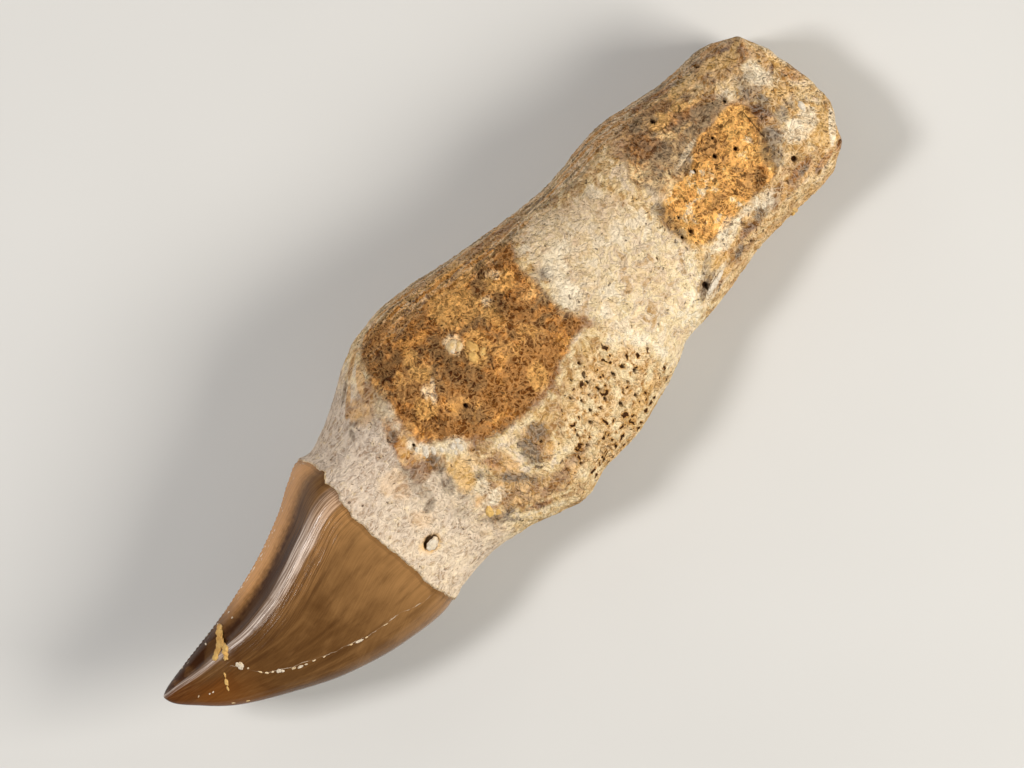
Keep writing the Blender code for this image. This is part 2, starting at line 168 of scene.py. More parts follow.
# The short straight split in the gold patch, in the frame: x at y = 0, its lean, and its middle's y.
SPLIT_X = 49.85
SPLIT_LEAN = 0.09
SPLIT_Y = 0.8
COLLAR_END = (45, 51)  # where the collar passes into fibrous bone
FAR_START = (86, 98)  # where the far end's gold stain sets in
BROWNS_SPAN = 36  # the distance over which the enamel's browns run

# Smaller stains on the root: ovals of (distance, angle, half length, half width in mm, turn).
STAINS = {
    "wash": [
        (45.9, 46, 2.6, 1.5, 60), (48.6, 48, 1.6, 1.5, 0), (55.2, 141, 5, 2, 5),
        (59.4, 118, 1.8, 2.4, 0), (112.8, 42, 4, 4, 20), (107.3, 140, 4.5, 2, 0), (71, 20, 8, 1.5, 0),
        (94, 152, 5, 1.2, 0), (106.8, 62, 2.6, 2, 0), (99, 44, 5.5, 2.6, 0), (111, 95, 1.6, 4, 0),
        (54, 120, 3, 1.6, 100), (52.5, 132, 4.5, 2.2, 20), (60, 140, 4, 1.2, 0), (69, 81, 1.7, 1.4, 45),
        (52.4, 61, 1.4, 2, 45), (56.1, 88, 2.3, 1.4, 45), (64.9, 79, 1.7, 1.1, 45),
        (47.8, 79, 1.5, 2.3, 75), (46.6, 92, 1.5, 2.4, 85), (48.3, 40, 0.8, 3.5, 25),
        (49.5, 20, 0.7, 2.3, 45), (45.4, 34, 0.6, 2.3, 55), (52, 210, 5, 3, 0), (70, 230, 6, 4, 20),
        (90, 300, 8, 3, 0), (108, 230, 6, 4, 0),
    ],
    "umber": [
        (65.3, 95, 5.2, 2.8, -15), (52, 86, 5.4, 1.6, 53), (54.5, 28, 2.6, 1.1, 0),
        (74.2, 42, 1.4, 1.2, 105), (58.6, 84, 3.5, 2.6, 45), (53.2, 70, 2.9, 1.7, 85),
        (69.6, 70, 2.3, 1.7, 45), (74.4, 94, 1.7, 0.8, 45), (52.8, 53, 2.6, 1.3, 105),
        (54, 250, 4, 2.4, 0), (66, 300, 4, 2, 0),
    ],
    "rusty": [
        (102.8, 55, 2.9, 1.4, 25), (97.6, 60, 2.3, 1.7, 45), (114, 43, 3.5, 2, 55),
        (119, 81, 2.3, 1.4, 85), (109.5, 75, 2.3, 0.9, 15), (110.3, 136, 2.3, 1.1, -15),
        (113.2, 147, 0.9, 2, 65), (104.1, 29, 2.3, 0.7, 15), (46, 77, 3.1, 0.8, 107),
        (49.3, 84, 1.3, 1, 45), (47.8, 95, 1, 0.7, 105), (46.2, 84, 0.8, 0.8, 45),
        (52.8, 103, 0.7, 0.5, 105), (53.2, 114, 1, 0.6, 65), (54.1, 152, 1.5, 0.7, 10),
        (104.4, 29, 1.5, 0.5, 25), (100.7, 27, 1, 0.9, 85), (97.1, 53, 1.1, 2, 55),
        (105.1, 52, 0.8, 1.2, 45), (115.8, 43, 0.9, 1.4, 45), (116.6, 73, 0.4, 1.7, 55),
        (111.7, 88, 1.7, 0.8, 85), (116.7, 146, 1, 1.5, 45), (95.3, 141, 1.2, 0.7, 45),
        (99.5, 143, 1.9, 1, 15), (105.8, 119, 1, 1.9, 45), (49, 320, 4, 1.6, 20),
        (88, 300, 5, 1.5, -10), (60, 200, 4, 1.2, 10), (112, 215, 3, 2, 40), (80, 262, 2.5, 3.5, 0),
        (108, 290, 4, 2.5, 20),
    ],
    "honey": [
        (64.4, 48, 3.2, 3.2, 45), (65.7, 98, 1.1, 1.7, 45), (67.3, 61, 2.3, 1.1, 95),
        (108.4, 82, 2.2, 2.6, 0), (93.6, 118, 1.6, 1, 45), (49.4, 110, 2.1, 1.2, 105),
        (49.2, 105, 1.1, 0.8, 45), (62.6, 71, 1.4, 2.4, 45), (55.5, 54, 0.8, 1.2, 45),
        (55, 63, 1.2, 1, 45), (52.3, 76, 1.3, 1.5, 105), (67.9, 37, 0.8, 1.3, 55),
        (63, 37, 0.8, 0.8, 45), (101.4, 51, 1.4, 1.5, 45), (104.6, 51, 1.1, 0.8, 45),
        (110.1, 39, 0.8, 0.9, 45), (115.1, 86, 1.7, 0.8, 45), (115.5, 41, 0.7, 1.4, 45),
        (111.1, 38, 1, 0.8, 45), (118.6, 71, 2.1, 0.8, 85), (93.9, 140, 1.5, 1, 25),
        (92.9, 150, 1.2, 0.7, 45), (97, 138, 1, 0.9, 45), (116, 120, 2.4, 5, 0), (73, 152, 4, 1.4, 0),
        (54, 240, 4, 2, 10), (70, 300, 3, 2.4, 0), (99, 220, 5, 2, 0), (92, 330, 4, 1.2, 0),
        (115, 260, 3, 4, 0), (112.8, 42, 3.2, 1.6, 45), (39.9, 120, 1.5, 1.2, 45),
        (71, 51, 2.2, 1.7, 45), (106.5, 37, 1.4, 2.2, 45),
    ],
    "dark": [
        (60.6, 114, 1.1, 0.9, 25), (58, 119, 2, 1, 105), (48, 97, 1.5, 0.7, 95),
        (47.2, 108, 1, 0.8, 95), (50.3, 144, 0.7, 0.7, 45), (48.9, 145, 2.6, 0.5, 53),
        (54.3, 127, 2.1, 0.6, 45), (43.5, 107, 0.6, 1, 105), (51, 116, 0.5, 0.5, 45),
        (46.5, 71, 0.6, 0.6, 85), (44.1, 46, 0.8, 0.2, 45), (46, 26, 0.5, 1.5, 65),
        (42.8, 47, 0.4, 0.7, 25), (58, 73, 1.5, 1.1, 75), (54.1, 49, 0.9, 0.8, 45),
        (51.8, 49, 1.4, 1.5, 45), (59.2, 58, 0.9, 1, 45), (59.5, 79, 1.4, 1.5, 75),
        (56.2, 92, 1.4, 1, 45), (60.2, 69, 0.9, 0.5, 65), (68.8, 61, 1.5, 0.8, 95),
        (68.5, 47, 1, 1.2, 45), (76.3, 65, 0.8, 1, 75), (106.7, 65, 2, 1.4, 25),
        (110.2, 25, 0.8, 0.5, 45), (101, 46, 0.6, 0.5, 45), (98.7, 41, 0.8, 1.4, 45),
        (98.3, 68, 1.5, 1.1, 5), (99.9, 81, 0.8, 1.7, 25), (106.8, 32, 0.9, 0.5, 25),
        (112.1, 73, 1, 0.8, 85), (112.8, 84, 1.4, 0.9, 95), (109.6, 65, 0.5, 0.5, 45),
        (113.6, 98, 1.2, 0.8, 95), (110.6, 105, 1.7, 1.2, 85), (108.8, 113, 2.2, 1.4, 90),
        (102.4, 140, 1.4, 1, 105), (90.2, 145, 1, 2.2, 65), (96.7, 129, 0.7, 0.7, 45),
        (92.7, 102, 2.2, 0.7, 90), (92.9, 89, 1, 1, 45), (110.5, 138, 0.7, 1, 45),
        (96.8, 150, 0.9, 1, 5), (62, 250, 3, 1.2, 20), (101, 300, 3, 1.4, 0), (47, 280, 2, 1, 60),
        (86, 230, 2.4, 0.8, 30), (112, 330, 2, 1.4, 0), (68, 205, 2, 0.7, 10),
    ],
    "slate": [
        (99.7, 43, 1.7, 2, 45), (107, 67, 2.6, 1.4, 10), (95.8, 74, 1.7, 2.9, 45),
        (110.1, 106, 1.6, 2.3, 15), (91, 138, 0.9, 3.5, 45), (113.6, 70, 2.3, 1.4, 65),
        (103.7, 140, 1.7, 1.1, 15), (44.3, 95, 2.6, 1, 93), (44.8, 87, 2, 1, 105),
        (45.8, 123, 1.3, 0.8, 75), (48, 118, 1, 0.8, 45), (47.9, 62, 0.6, 1.6, 37),
        (46, 59, 0.3, 0.6, 45), (59.6, 56, 0.8, 0.5, 45), (48.5, 56, 1.2, 2.1, 45),
        (74.7, 84, 1.2, 1.4, 45), (74.1, 74, 0.8, 0.6, 45), (75.3, 63, 1.2, 1, 45),
        (107.7, 69, 1.4, 0.8, -5), (99.3, 39, 1.5, 1.1, 95), (98.2, 68, 1.7, 1.1, 5),
        (101.6, 75, 1.1, 2, 65), (105.9, 20, 1.1, 0.5, 15), (114.6, 72, 1.4, 1.4, 45),
        (106, 72, 1.5, 0.6, 5), (101.4, 74, 1.5, 2.1, 45), (99, 79, 2.1, 1.2, 5),
        (99, 68, 2.1, 1.5, 45), (45, 230, 3, 2, 0), (95, 310, 3, 2.5, 20), (78, 340, 6, 1, 0),
    ],
    "chalk": [
        (76.2, 80, 1.6, 2.6, 0), (77.5, 68, 1.5, 1.6, 30), (79, 62, 2, 1, 0), (114, 113, 2.6, 2, 15),
        (103.2, 132, 2.6, 0.9, 15), (110.1, 66, 1, 0.6, 45), (97, 129, 1.1, 2.3, 55),
        (119, 63, 3.5, 0.45, 83), (117.3, 129, 0.6, 3.5, 30), (91.6, 148, 0.9, 2.9, 70),
        (100.8, 78, 0.45, 2.3, 70), (115.1, 72, 2.3, 1.1, 65), (48.5, 89, 1.5, 0.6, 49),
        (47.5, 82, 0.5, 0.6, 45), (50, 93, 0.5, 0.4, 45), (51.7, 97, 1.2, 0.9, 35),
        (50.1, 121, 0.9, 1.1, 45), (50.8, 129, 1.2, 0.7, 25), (49.4, 131, 1, 0.5, 15),
        (60.8, 63, 1, 1.1, 45), (53.8, 71, 0.5, 0.8, 45), (54.7, 72, 0.3, 1.4, 45),
        (54, 75, 0.4, 0.8, 45), (71.2, 46, 0.8, 0.5, 45), (68, 56, 0.4, 0.5, 45),
        (76.2, 46, 0.8, 0.8, 45), (115.3, 64, 1.7, 0.9, 75), (115.5, 111, 1.4, 1.8, 55),
        (113.3, 110, 1.8, 0.9, 35), (117.7, 26, 1.2, 0.5, 85), (99, 131, 0.7, 1.2, 65),
        (104.1, 135, 1.9, 0.9, 95), (91.4, 157, 1.5, 0.5, 10), (96.9, 136, 0.7, 1.4, 75),
        (95.3, 131, 1.4, 0.7, 15), (83, 225, 4, 1.6, 0), (58, 290, 2.5, 1.2, 40),
        (104, 250, 2, 1.4, 60),
    ],
    "peach": [
        (41.4, 107, 1.8, 1, 55), (42.6, 86, 2, 1.5, 105), (51.3, 108, 1.5, 1, 45),
        (41.8, 82, 1.6, 1.3, 45), (45.6, 50, 1.5, 1.3, 45), (47.9, 39, 0.7, 0.9, 45),
        (40, 250, 3, 2, 0), (44, 310, 3, 1.6, 20),
    ],
}

# Pores and small hollows: (distance, y, radius).
PORES = [
    (73.1, -9.5, 0.5), (75.5, -11.2, 0.5), (74.8, -9.7, 0.35), (70.9, -5.2, 0.4), (68.6, -6.1, 0.35),
    (69.9, -7.9, 0.45), (70.3, -9.6, 0.45), (68.8, -9.2, 0.35), (67.6, -9.1, 0.35), (70, -11, 0.45),
    (70.9, -12.9, 0.5), (67.5, -10.7, 0.35), (68.7, -11.5, 0.35), (66.4, -11.8, 0.45),
    (73.2, -13.6, 0.4), (73.7, -11.6, 0.4), (72.5, -11.9, 0.3), (77.4, -13.9, 0.35), (64, -12, 0.35),
    (63.9, -14, 0.45), (65.8, -16.3, 0.4), (61.8, -15.4, 0.45), (66.8, -7.7, 0.35), (60, -9.1, 0.35),
    (56.2, 1.5, 0.55), (47.6, 2.6, 0.4), (88.2, -2.8, 0.3), (90.3, -10.1, 0.8), (92.6, -3.3, 0.4),
    (94, -3.6, 0.5), (94.1, -1, 0.35), (93.4, -5.2, 0.35), (98.9, -10.5, 0.45), (100, 2, 0.4),
    (100.9, 11, 0.55), (103.3, 1.5, 0.5), (104.8, 3.5, 0.35), (106, 0.2, 0.5), (109.5, 6, 0.4),
    (110.4, 12, 0.45), (107.8, 12.7, 0.4), (110.6, -6.4, 0.7),
]
PORE_SHAPE = (0.6, 0.75)  # the pores' mouths, as shares of the solid's plain round ones
PORE_DEPTH = 0.9
NERVE_HOLE = (40.1, -8.25, 1.2, 0.85)  # distance, y, half length, half width
NERVE_DEPTH = 0.75

# The crack along the crown, as (distance, y), and the cream chips left in it.
CRACK = [
    (9.6, -0.9), (11.2, -3.55), (12.2, -4.9), (13.5, -5.8), (14.9, -6.7), (16.65, -7.45), (19.8, -9.1),
    (21.9, -9.8), (25.7, -11.2), (30.3, -11.9), (33.8, -13.2),
]
# Pieces that stick to the surface: (distance, y, half length, half width, height, turn, tint). The
# tint runs from 0, chalk, to 1, ochre.
CRUST = [
    (11.95, 3.75, 0.55, 0.42, 0.45, 62, 0.9), (11.4, 3.1, 0.85, 0.5, 0.55, 62, 0.8),
    (10.8, 2.35, 0.8, 0.48, 0.5, 60, 0.85), (10.05, 1.9, 0.75, 0.36, 0.42, 50, 0.9),
    (9.3, 1.55, 0.75, 0.34, 0.4, 40, 0.8), (8.85, 1.3, 0.45, 0.36, 0.35, 30, 0.85),
    (10.75, 1.5, 0.75, 0.4, 0.42, 80, 0.85), (10.25, 0.85, 0.6, 0.4, 0.42, 70, 0.75),
    (9.85, 0.35, 0.4, 0.34, 0.38, 60, 0.6), (8.1, -1.25, 0.4, 0.13, 0.14, 56, 0.8),
    (7.55, -2.05, 0.5, 0.25, 0.2, 56, 0.7), (7.05, -2.8, 0.4, 0.15, 0.14, 62, 0.6),
]
CHIPS = [
    (10.5, -1.9, 0.56, 0.4, 0.18, 60, 0.2), (10.3, -1.45, 0.3, 0.26, 0.14, 20, 0.15),
    (10.95, -2.8, 0.16, 0.12, 0.1, 0, 0.3), (11.75, -4.3, 0.34, 0.1, 0.08, -60, 0.3),
    (12.25, -5, 0.3, 0.13, 0.1, -50, 0.25), (12.9, -5.45, 0.22, 0.12, 0.1, -35, 0.3),
    (13.6, -5.95, 0.4, 0.26, 0.15, -25, 0.15), (13.95, -6.35, 0.24, 0.16, 0.1, -60, 0.2),
    (15.2, -7.1, 0.3, 0.13, 0.1, -25, 0.25), (16, -7.6, 0.42, 0.2, 0.13, -20, 0.2),
    (16.8, -7.9, 0.22, 0.12, 0.1, -20, 0.25), (17.9, -8.3, 0.3, 0.1, 0.08, -20, 0.3),
    (19.2, -8.9, 0.25, 0.09, 0.08, -20, 0.3), (22.9, -10.3, 0.25, 0.1, 0.08, -22, 0.3),
    (24, -10.75, 0.6, 0.16, 0.11, -20, 0.2), (25, -11.05, 0.25, 0.1, 0.08, -15, 0.3),
    (28, -11.65, 0.35, 0.07, 0.06, -14, 0.3), (5.3, -1.75, 0.15, 0.1, 0.08, 0, 0.1),
    (4.8, -1.6, 0.13, 0.1, 0.08, 0, 0.1), (3.5, -0.8, 0.2, 0.08, 0.06, 30, 0.3),
    (9.05, 3.5, 0.16, 0.1, 0.1, 60, 0.1), (14.1, 3.5, 0.14, 0.09, 0.08, 0, 0.1),
    (14.25, 4.35, 0.14, 0.09, 0.1, 0, 0.1), (6.1, -4.7, 0.32, 0.09, 0.08, -40, 0.4),
    (7.7, -5.9, 0.3, 0.1, 0.08, -30, 0.4),
]
LUMPS = [
    (60.6, 8.35, 0.95, 0.7, 0.55, 20, 0.3), (61.2, 7.6, 0.7, 0.5, 0.45, 60, 0.4),
    (60.3, 7.9, 0.5, 0.4, 0.4, 0, 0.2), (62.4, 6.3, 1, 0.6, 0.32, 95, 0.75),
    (61.5, 5.3, 0.9, 0.6, 0.35, 60, 0.7), (62.9, 4.9, 0.6, 0.4, 0.25, 20, 0.85),
    (48.3, 0.9, 0.9, 0.38, 0.25, 49, 0), (49, 0.2, 0.6, 0.36, 0.22, 65, 0.05),
    (47.6, 1.9, 0.45, 0.3, 0.2, 40, 0), (49.9, -0.5, 0.4, 0.26, 0.2, 70, 0.1),
    (51.3, -1.2, 0.55, 0.36, 0.28, 30, 0), (51.9, -1.9, 0.6, 0.4, 0.3, 70, 0),
    (52.3, -1.1, 0.4, 0.28, 0.22, 100, 0.05), (51, -2, 0.4, 0.28, 0.2, 60, 0.05),
    (48.5, -10.8, 0.9, 0.55, 0.4, 50, 0.55), (49.3, -11.6, 0.5, 0.4, 0.3, 10, 0.9),
    (91.2, -10.6, 1.5, 0.36, 0.42, 12, 0.05), (92.4, -10.35, 0.9, 0.3, 0.36, 20, 0.1),
    (99.6, 2.1, 0.25, 0.3, 0.25, 0, 0), (106.2, -11.3, 0.42, 0.3, 0.5, -40, 0.4),
    (105.7, -11.45, 0.3, 0.22, 0.4, 0, 0.5), (116.2, -2, 0.7, 0.4, 0.25, 80, 0.1),
]
PLUG = [(40, -8.5, 1, 0.6, 0.4, 5, 0.15), (40.8, -8.2, 0.35, 0.35, 0.3, 0, 0.25)]
PLUG_DROP = 0.2  # how far the plug's middle lies under the collar
LUMP_RINGS = 14  # in each stuck piece
LUMP_POINTS = 30  # on each of its rings

# The bone's edge over the enamel: (angle, distance), right round the tooth.
MARGIN_LINE = [
    (0, 34.6), (14, 35.2), (24, 35.6), (35, 35.8), (41, 36.2), (48, 35.4), (56, 35.7), (63, 35.2),
    (75, 34.9), (86, 34.8), (98, 35.1), (112, 35.4), (133, 35.6), (154, 36), (172, 36.3), (200, 36),
    (240, 35.2), (290, 35.4), (330, 34.9), (360, 34.6),
]
# fmt: on

# The studio, in metres, and what the camera sees.
FLOOR_HALF = 0.8
FLOOR_HEIGHT = -0.00005  # just under the tooth, so that the two surfaces don't fall together
AIR_COLOUR = (0.95, 0.97, 1, 1)
AIR_STRENGTH = 0.12
LIGHTS = (  # name, place, side, colour, and whether polished parts mirror it
    ("key", (0.28, -0.34, 0.34), 0.26, (1.0, 0.96, 0.89), False),
    ("crest", (-0.195, 0.19, 0.455), 0.1, (1.0, 0.97, 0.94), True),
    ("fill", (-0.12, 0.42, 0.3), 0.4, (1.0, 0.95, 0.88), False),
)
VIEW_CENTRE = (0.00262, -0.00088)  # the point of the frame in the middle of the view
VIEW_WIDTH = 0.1378  # what the view spans at the tooth's middle height
VIEW_TURN = -45.0  # the view's right is the frame's +X turned by this
SENSOR = 36.0


def rail(points, along):
    """Value at each distance: a monotone cubic through the points, in the distance's square root."""
    knots, values = np.array(points, float).T
    knots, where = np.sqrt(knots), np.sqrt(np.clip(along, 0, None))
    step = np.diff(knots)
    rise = np.diff(values) / step
    near, far = 2 * step[1:] + step[:-1], step[1:] + 2 * step[:-1]
    same_way = rise[1:] * rise[:-1] > 0
    before, after = np.where(same_way, rise[:-1], 1), np.where(same_way, rise[1:], 1)
    inner = np.where(same_way, (near + far) / (near / before + far / after), 0)
    slope = np.concatenate([rise[:1], inner, rise[-1:]])
    i = np.clip(np.searchsorted(knots, where, side="right") - 1, 0, len(step) - 1)
    t = (where - knots[i]) / step[i]
    return (
        values[i] * (1 + 2 * t) * (1 - t) ** 2
        + slope[i] * step[i] * t * (1 - t) ** 2
        + values[i + 1] * t**2 * (3 - 2 * t)
        + slope[i + 1] * step[i] * t**2 * (t - 1)
    )


def ease(low, high, value):
    """0 below low, 1 above high, and between them 3 t^2 - 2 t^3."""
    t = np.clip((value - low) / (high - low), 0, 1)
    return t * t * (3 - 2 * t)


def section_parts(along, up, back):
    """A quarter's ridge, reach, rise and fullness at each distance."""
    ridge = np.where(up, rail(UPPER_RIDGE, along), rail(LOWER_RIDGE, along))
    reach = np.where(back, rail(REAR_EDGE, along) - ridge, ridge - rail(FRONT_EDGE, along))
    rise = np.where(up, rail(HEIGHT_ABOVE, along), rail(DEPTH_BELOW, along))
    full_up = np.where(back, rail(FULL_REAR_UP, along), rail(FULL_FRONT_UP, along))
    full_down = np.where(back, rail(FULL_REAR_DOWN, along), rail(FULL_FRONT_DOWN, along))
    return ridge, reach, rise, np.where(up, full_up, full_down)


def section(along, around):
    """Points of the smooth form at distances along and angles around (radians, 0 at the rear edge).

    Each quarter is a superellipse in its polar form: with c and s the angle's cosine and sine and
    p the fullness, the reach is divided by (|c|^p + |s|^p)^(1/p).
    """
    c, s = np.cos(around), np.sin(around)
    ridge, reach, rise, full = section_parts(along, s >= 0, c >= 0)
    size = (np.abs(c) ** full + np.abs(s) ** full) ** (1 / full)
    y = ridge + reach * c / size
    z = rail(MIDDLE_HEIGHT, along) + rise * s / size
    return np.stack([along + 0 * y, y, z], axis=-1)


def plan_across(points):
    """Place between the edges seen from above: 1 at the rear edge, 0 midway, -1 at the front."""
    rear, front = rail(REAR_EDGE, points[..., 0]), rail(FRONT_EDGE, points[..., 0])
    across = (2 * points[..., 1] - rear - front) / np.maximum(rear - front, 1e-6)
    return np.clip(across, -1, 1)


def plan_angle(points, up):
    """Angle round the tooth in degrees, the arc cosine of the place across, on past 180 below."""
    angle = np.degrees(np.arccos(plan_across(points)))
    return np.where(up, angle, 360 - angle)


def waves(points, length, seed, count=20):
    """Smooth unevenness, mostly between -1 and 1: a sum of plane waves in seeded directions."""
    draw = np.random.default_rng(seed)
    ways = draw.normal(size=(count, 3))
    ways /= np.linalg.norm(ways, axis=1, keepdims=True)
    lengths = length * draw.uniform(0.7, 1.6, count)
    shifts = draw.uniform(0, 2 * np.pi, count)
    return np.sin(points @ (ways.T * 2 * np.pi / lengths) + shifts).sum(axis=-1) / np.sqrt(count)


def grain(points, cell, seed):
    """Gradient noise, about -1 to 1: seeded slopes at a lattice's corners.

    They are blended by t^3 (6 t^2 - 15 t + 10).
    """
    draw = np.random.default_rng(seed)
    order = draw.permutation(256)
    slopes = draw.normal(size=(256, 3))
    slopes /= np.linalg.norm(slopes, axis=1, keepdims=True)
    place = points / cell
    base = np.floor(place).astype(int)
    part = place - base
    blend = part**3 * (part * (part * 6 - 15) + 10)
    total = np.zeros(points.shape[:-1])
    for corner in itertools.product((0, 1), repeat=3):
        at = (base + corner) & 255
        pick = order[(order[(order[at[..., 0]] + at[..., 1]) & 255] + at[..., 2]) & 255]
        weight = np.prod(np.where(corner, blend, 1 - blend), axis=-1)
        total += weight * (slopes[pick] * (part - corner)).sum(axis=-1)
    return total * 1.6


def layered(points, cell, seed, layers=4, fade=0.5):
    """Fractal noise: grain at the cell size and at each half of it, each layer weaker by the fade."""
    shares = fade ** np.arange(layers)
    total = sum(s * grain(points, cell / 2**k, seed + k) for k, s in enumerate(shares))
    return total / math.sqrt((shares**2).sum())


def strands(points, cell, lines, seed):
    """Curved ridges like woven fibre, 0 to 1: 1 - |sin| of a smooth noise's level lines."""
    level = grain(points, cell, seed) + 0.35 * grain(points, cell / 2.3, seed + 1)
    return 1 - np.abs(np.sin(np.pi * lines * level))


def patch_distance(along, angle, corners):
    """Distance in mm to a patch's outline, positive inside it."""
    place = np.stack([along, np.radians(angle) * AROUND_RADIUS], axis=-1)
    corners = np.array(corners, float) * [1, np.pi / 180 * AROUND_RADIUS]
    nearest, inside = np.full(along.shape, np.inf), np.zeros(along.shape, bool)
    for a, b in zip(corners, np.roll(corners, -1, axis=0)):
        side, off = b - a, place - a
        share = np.clip((off @ side) / (side @ side), 0, 1)
        nearest = np.minimum(nearest, np.linalg.norm(off - share[..., None] * side, axis=-1))
        crosses = (a[1] > place[..., 1]) != (b[1] > place[..., 1])
        level = side[1] if abs(side[1]) > 1e-9 else 1e-9
        inside ^= crosses & (place[..., 0] < a[0] + (place[..., 1] - a[1]) * side[0] / level)
    return np.where(inside, nearest, -nearest)


def patch_field(name, along, angle):
    """Distance in mm to the nearest outline of a kind of patch, positive inside it."""
    return np.max([patch_distance(along, angle, corners) for corners in PATCHES[name]], axis=0)


def oval_distance(along, angle, ovals):
    """Distance in mm inside the nearest of several ovals: (1 - radius share) * half width."""
    best = np.full(along.shape, -9.0)
    for far, turn, half_long, half_wide, tilt in ovals:
        x, y = along - far, np.radians(angle - turn) * AROUND_RADIUS
        c, s = math.cos(math.radians(tilt)), math.sin(math.radians(tilt))
        share = np.hypot((x * c + y * s) / half_long, (y * c - x * s) / half_wide)
        best = np.maximum(best, (1 - share) * half_wide)
    return best


def end_distance(points):
    """Distance of the broken end beyond each point's y and height: its faces' rounded minimum."""
    lift = points[..., 2] - rail(MIDDLE_HEIGHT, np.full(points.shape[:-1], LENGTH))
    faces = [far + by_y * points[..., 1] + by_z * lift for far, by_y, by_z in END_FACES]
    soft = -np.log(sum(np.exp(-f / END_ROUNDING) for f in faces)) * END_ROUNDING
    flat = points * [0, 1, 1]
    rough = BREAK_HEIGHT * waves(flat, BREAK_LENGTH, SEED)
    rough = rough + BREAK_GRAIN * layered(flat, BREAK_CELL, SEED + 40)
    return soft + rough - END_SETBACK


def outward(points):
    """Unit normals of a closed grid of rings: the cross product of its two directions."""
    ahead = np.gradient(points, axis=0)
    beside = np.roll(points, -1, axis=1) - np.roll(points, 1, axis=1)
    normal = np.cross(beside, ahead)
    return normal / np.maximum(np.linalg.norm(normal, axis=-1, keepdims=True), 1e-9)


def turns(columns, crowding):
    """Angles round a section, closer together on top: v + crowding (cos v - 1)."""
    v = np.linspace(0, 2 * np.pi, columns, endpoint=False)
    return v + crowding * (np.cos(v) - 1)


def margin_distance(angle):
    """Where the bone's edge lies at each angle round the tooth, with small scallops."""
    turn, far = np.array(MARGIN_LINE, float).T
    place = np.stack([angle * 0.13, 0 * angle, 0 * angle + 0.5], axis=-1)
    scallops = 0.24 * grain(place, 1.0, SEED + 2) + 0.14 * grain(place, 0.4, SEED + 4)
    return np.interp(angle, turn, far) + scallops


def behind_ridge(points):
    """Place between the crown's upper ridge and its rear edge: 0 on the ridge, 1 at the edge."""
    ridge, rear = rail(UPPER_RIDGE, points[..., 0]), rail(REAR_EDGE, points[..., 0])
    return (points[..., 1] - ridge) / np.maximum(rear - ridge, 0.05)


def crown_relief(points, up):
    """The crown's trough, its faint flutes and its serrated rear edge, in mm."""
    along, across = points[..., 0], plan_across(points)
    trough = ease(2, 8, along) * (1 - ease(28, 35, along)) * up
    trough = trough * np.exp(-(((behind_ridge(points) - 0.5) / 0.26) ** 2))
    tall = ease(2, 12, along)
    flute_place = np.stack([np.arccos(across) * 6, along / 40, 3.0 * up], axis=-1)
    flutes = grain(flute_place, 1.0, SEED + 3) * 0.05 * tall
    rear_teeth = np.exp(-(((1 - across) / 0.012) ** 2)) * np.abs(np.sin(along * np.pi / 0.62))
    return flutes - TROUGH_DEPTH * trough + 0.1 * rear_teeth * ease(3, 6, along)


def broad_relief(points, up):
    """The root's broader relief: its swell, its lip and its sunken patches, in mm."""
    along = points[..., 0]
    angle = plan_angle(points, up > 0.5)
    lip = 1 - ease(0.6, 2.8, along - margin_distance(angle))
    swell = waves(points, SWELL_LENGTH, SEED + 1) * ease(MARGIN, MARGIN + 12, along)
    ragged = 1.1 * layered(points, 5.0, SEED + 5)
    rust = ease(-1.2, 1.5, patch_field("rust", along, angle) + ragged)
    gold = ease(-0.9, 1.2, patch_field("gold", along, angle) + ragged)
    return SWELL_HEIGHT * swell + LIP_HEIGHT * lip - RUST_DEPTH * rust - GOLD_DEPTH * gold


def pit_depth(points, up, places, depth, edge=0.13):
    """Depth in mm of oval pits seen from above: full inside an uneven outline, none past its edge."""
    total = np.zeros(points.shape[:-1])
    uneven = 0.09 * grain(points, 0.7, SEED + 31)
    for along, y, half_long, half_wide in places:
        squeezed = (points[..., 0] - along) * half_wide / half_long
        away = np.hypot(squeezed, points[..., 1] - y) + uneven - half_wide
        total = np.maximum(total, (1 - ease(-edge, edge * 0.6, away)) * depth)
    return total * (up > 0.5)


def root_relief(points, up):
    """All the root's relief in mm, its fine part alone before it is scaled, and the pits' depth."""
    along = points[..., 0]
    angle = plan_angle(points, up > 0.5)
    rust = ease(-1, 1, patch_field("rust", along, angle))
    gold = ease(-1, 1, patch_field("gold", along, angle))
    porous = ease(-1.5, 1.5, patch_field("porous", along, angle))
    smooth_cream = ease(-1, 2, patch_distance(along, angle, CREAM_PATCH))
    mottled = ease(-1, 1, patch_distance(along, angle, GREY_PATCH))
    collar = 1 - ease(44, 50, along)
    coarse = 0.9 + 1.1 * np.maximum(rust, gold) + 0.5 * porous + 0.7 * mottled
    coarse = coarse - 0.45 * smooth_cream - 0.5 * collar
    patchy = 0.45 + 0.9 * ease(-0.4, 0.4, grain(points, 4.0, SEED + 9))
    fine = 0.9 * layered(points, 2.4, SEED + 8)
    fine = fine + (strands(points, 3.0, 3.2, SEED + 14) - 0.45) * patchy
    fine = fine + 0.6 * (strands(points, 1.7, 2.4, SEED + 17) - 0.45)
    places = [(x, y, radius * PORE_SHAPE[0], radius * PORE_SHAPE[1]) for x, y, radius in PORES]
    pits = pit_depth(points, up, places, PORE_DEPTH)
    nerve = pit_depth(points, up, [NERVE_HOLE], NERVE_DEPTH)
    hollow = np.maximum(pits, nerve)
    return broad_relief(points, up) + FINE_HEIGHT * coarse * fine - hollow, fine, hollow


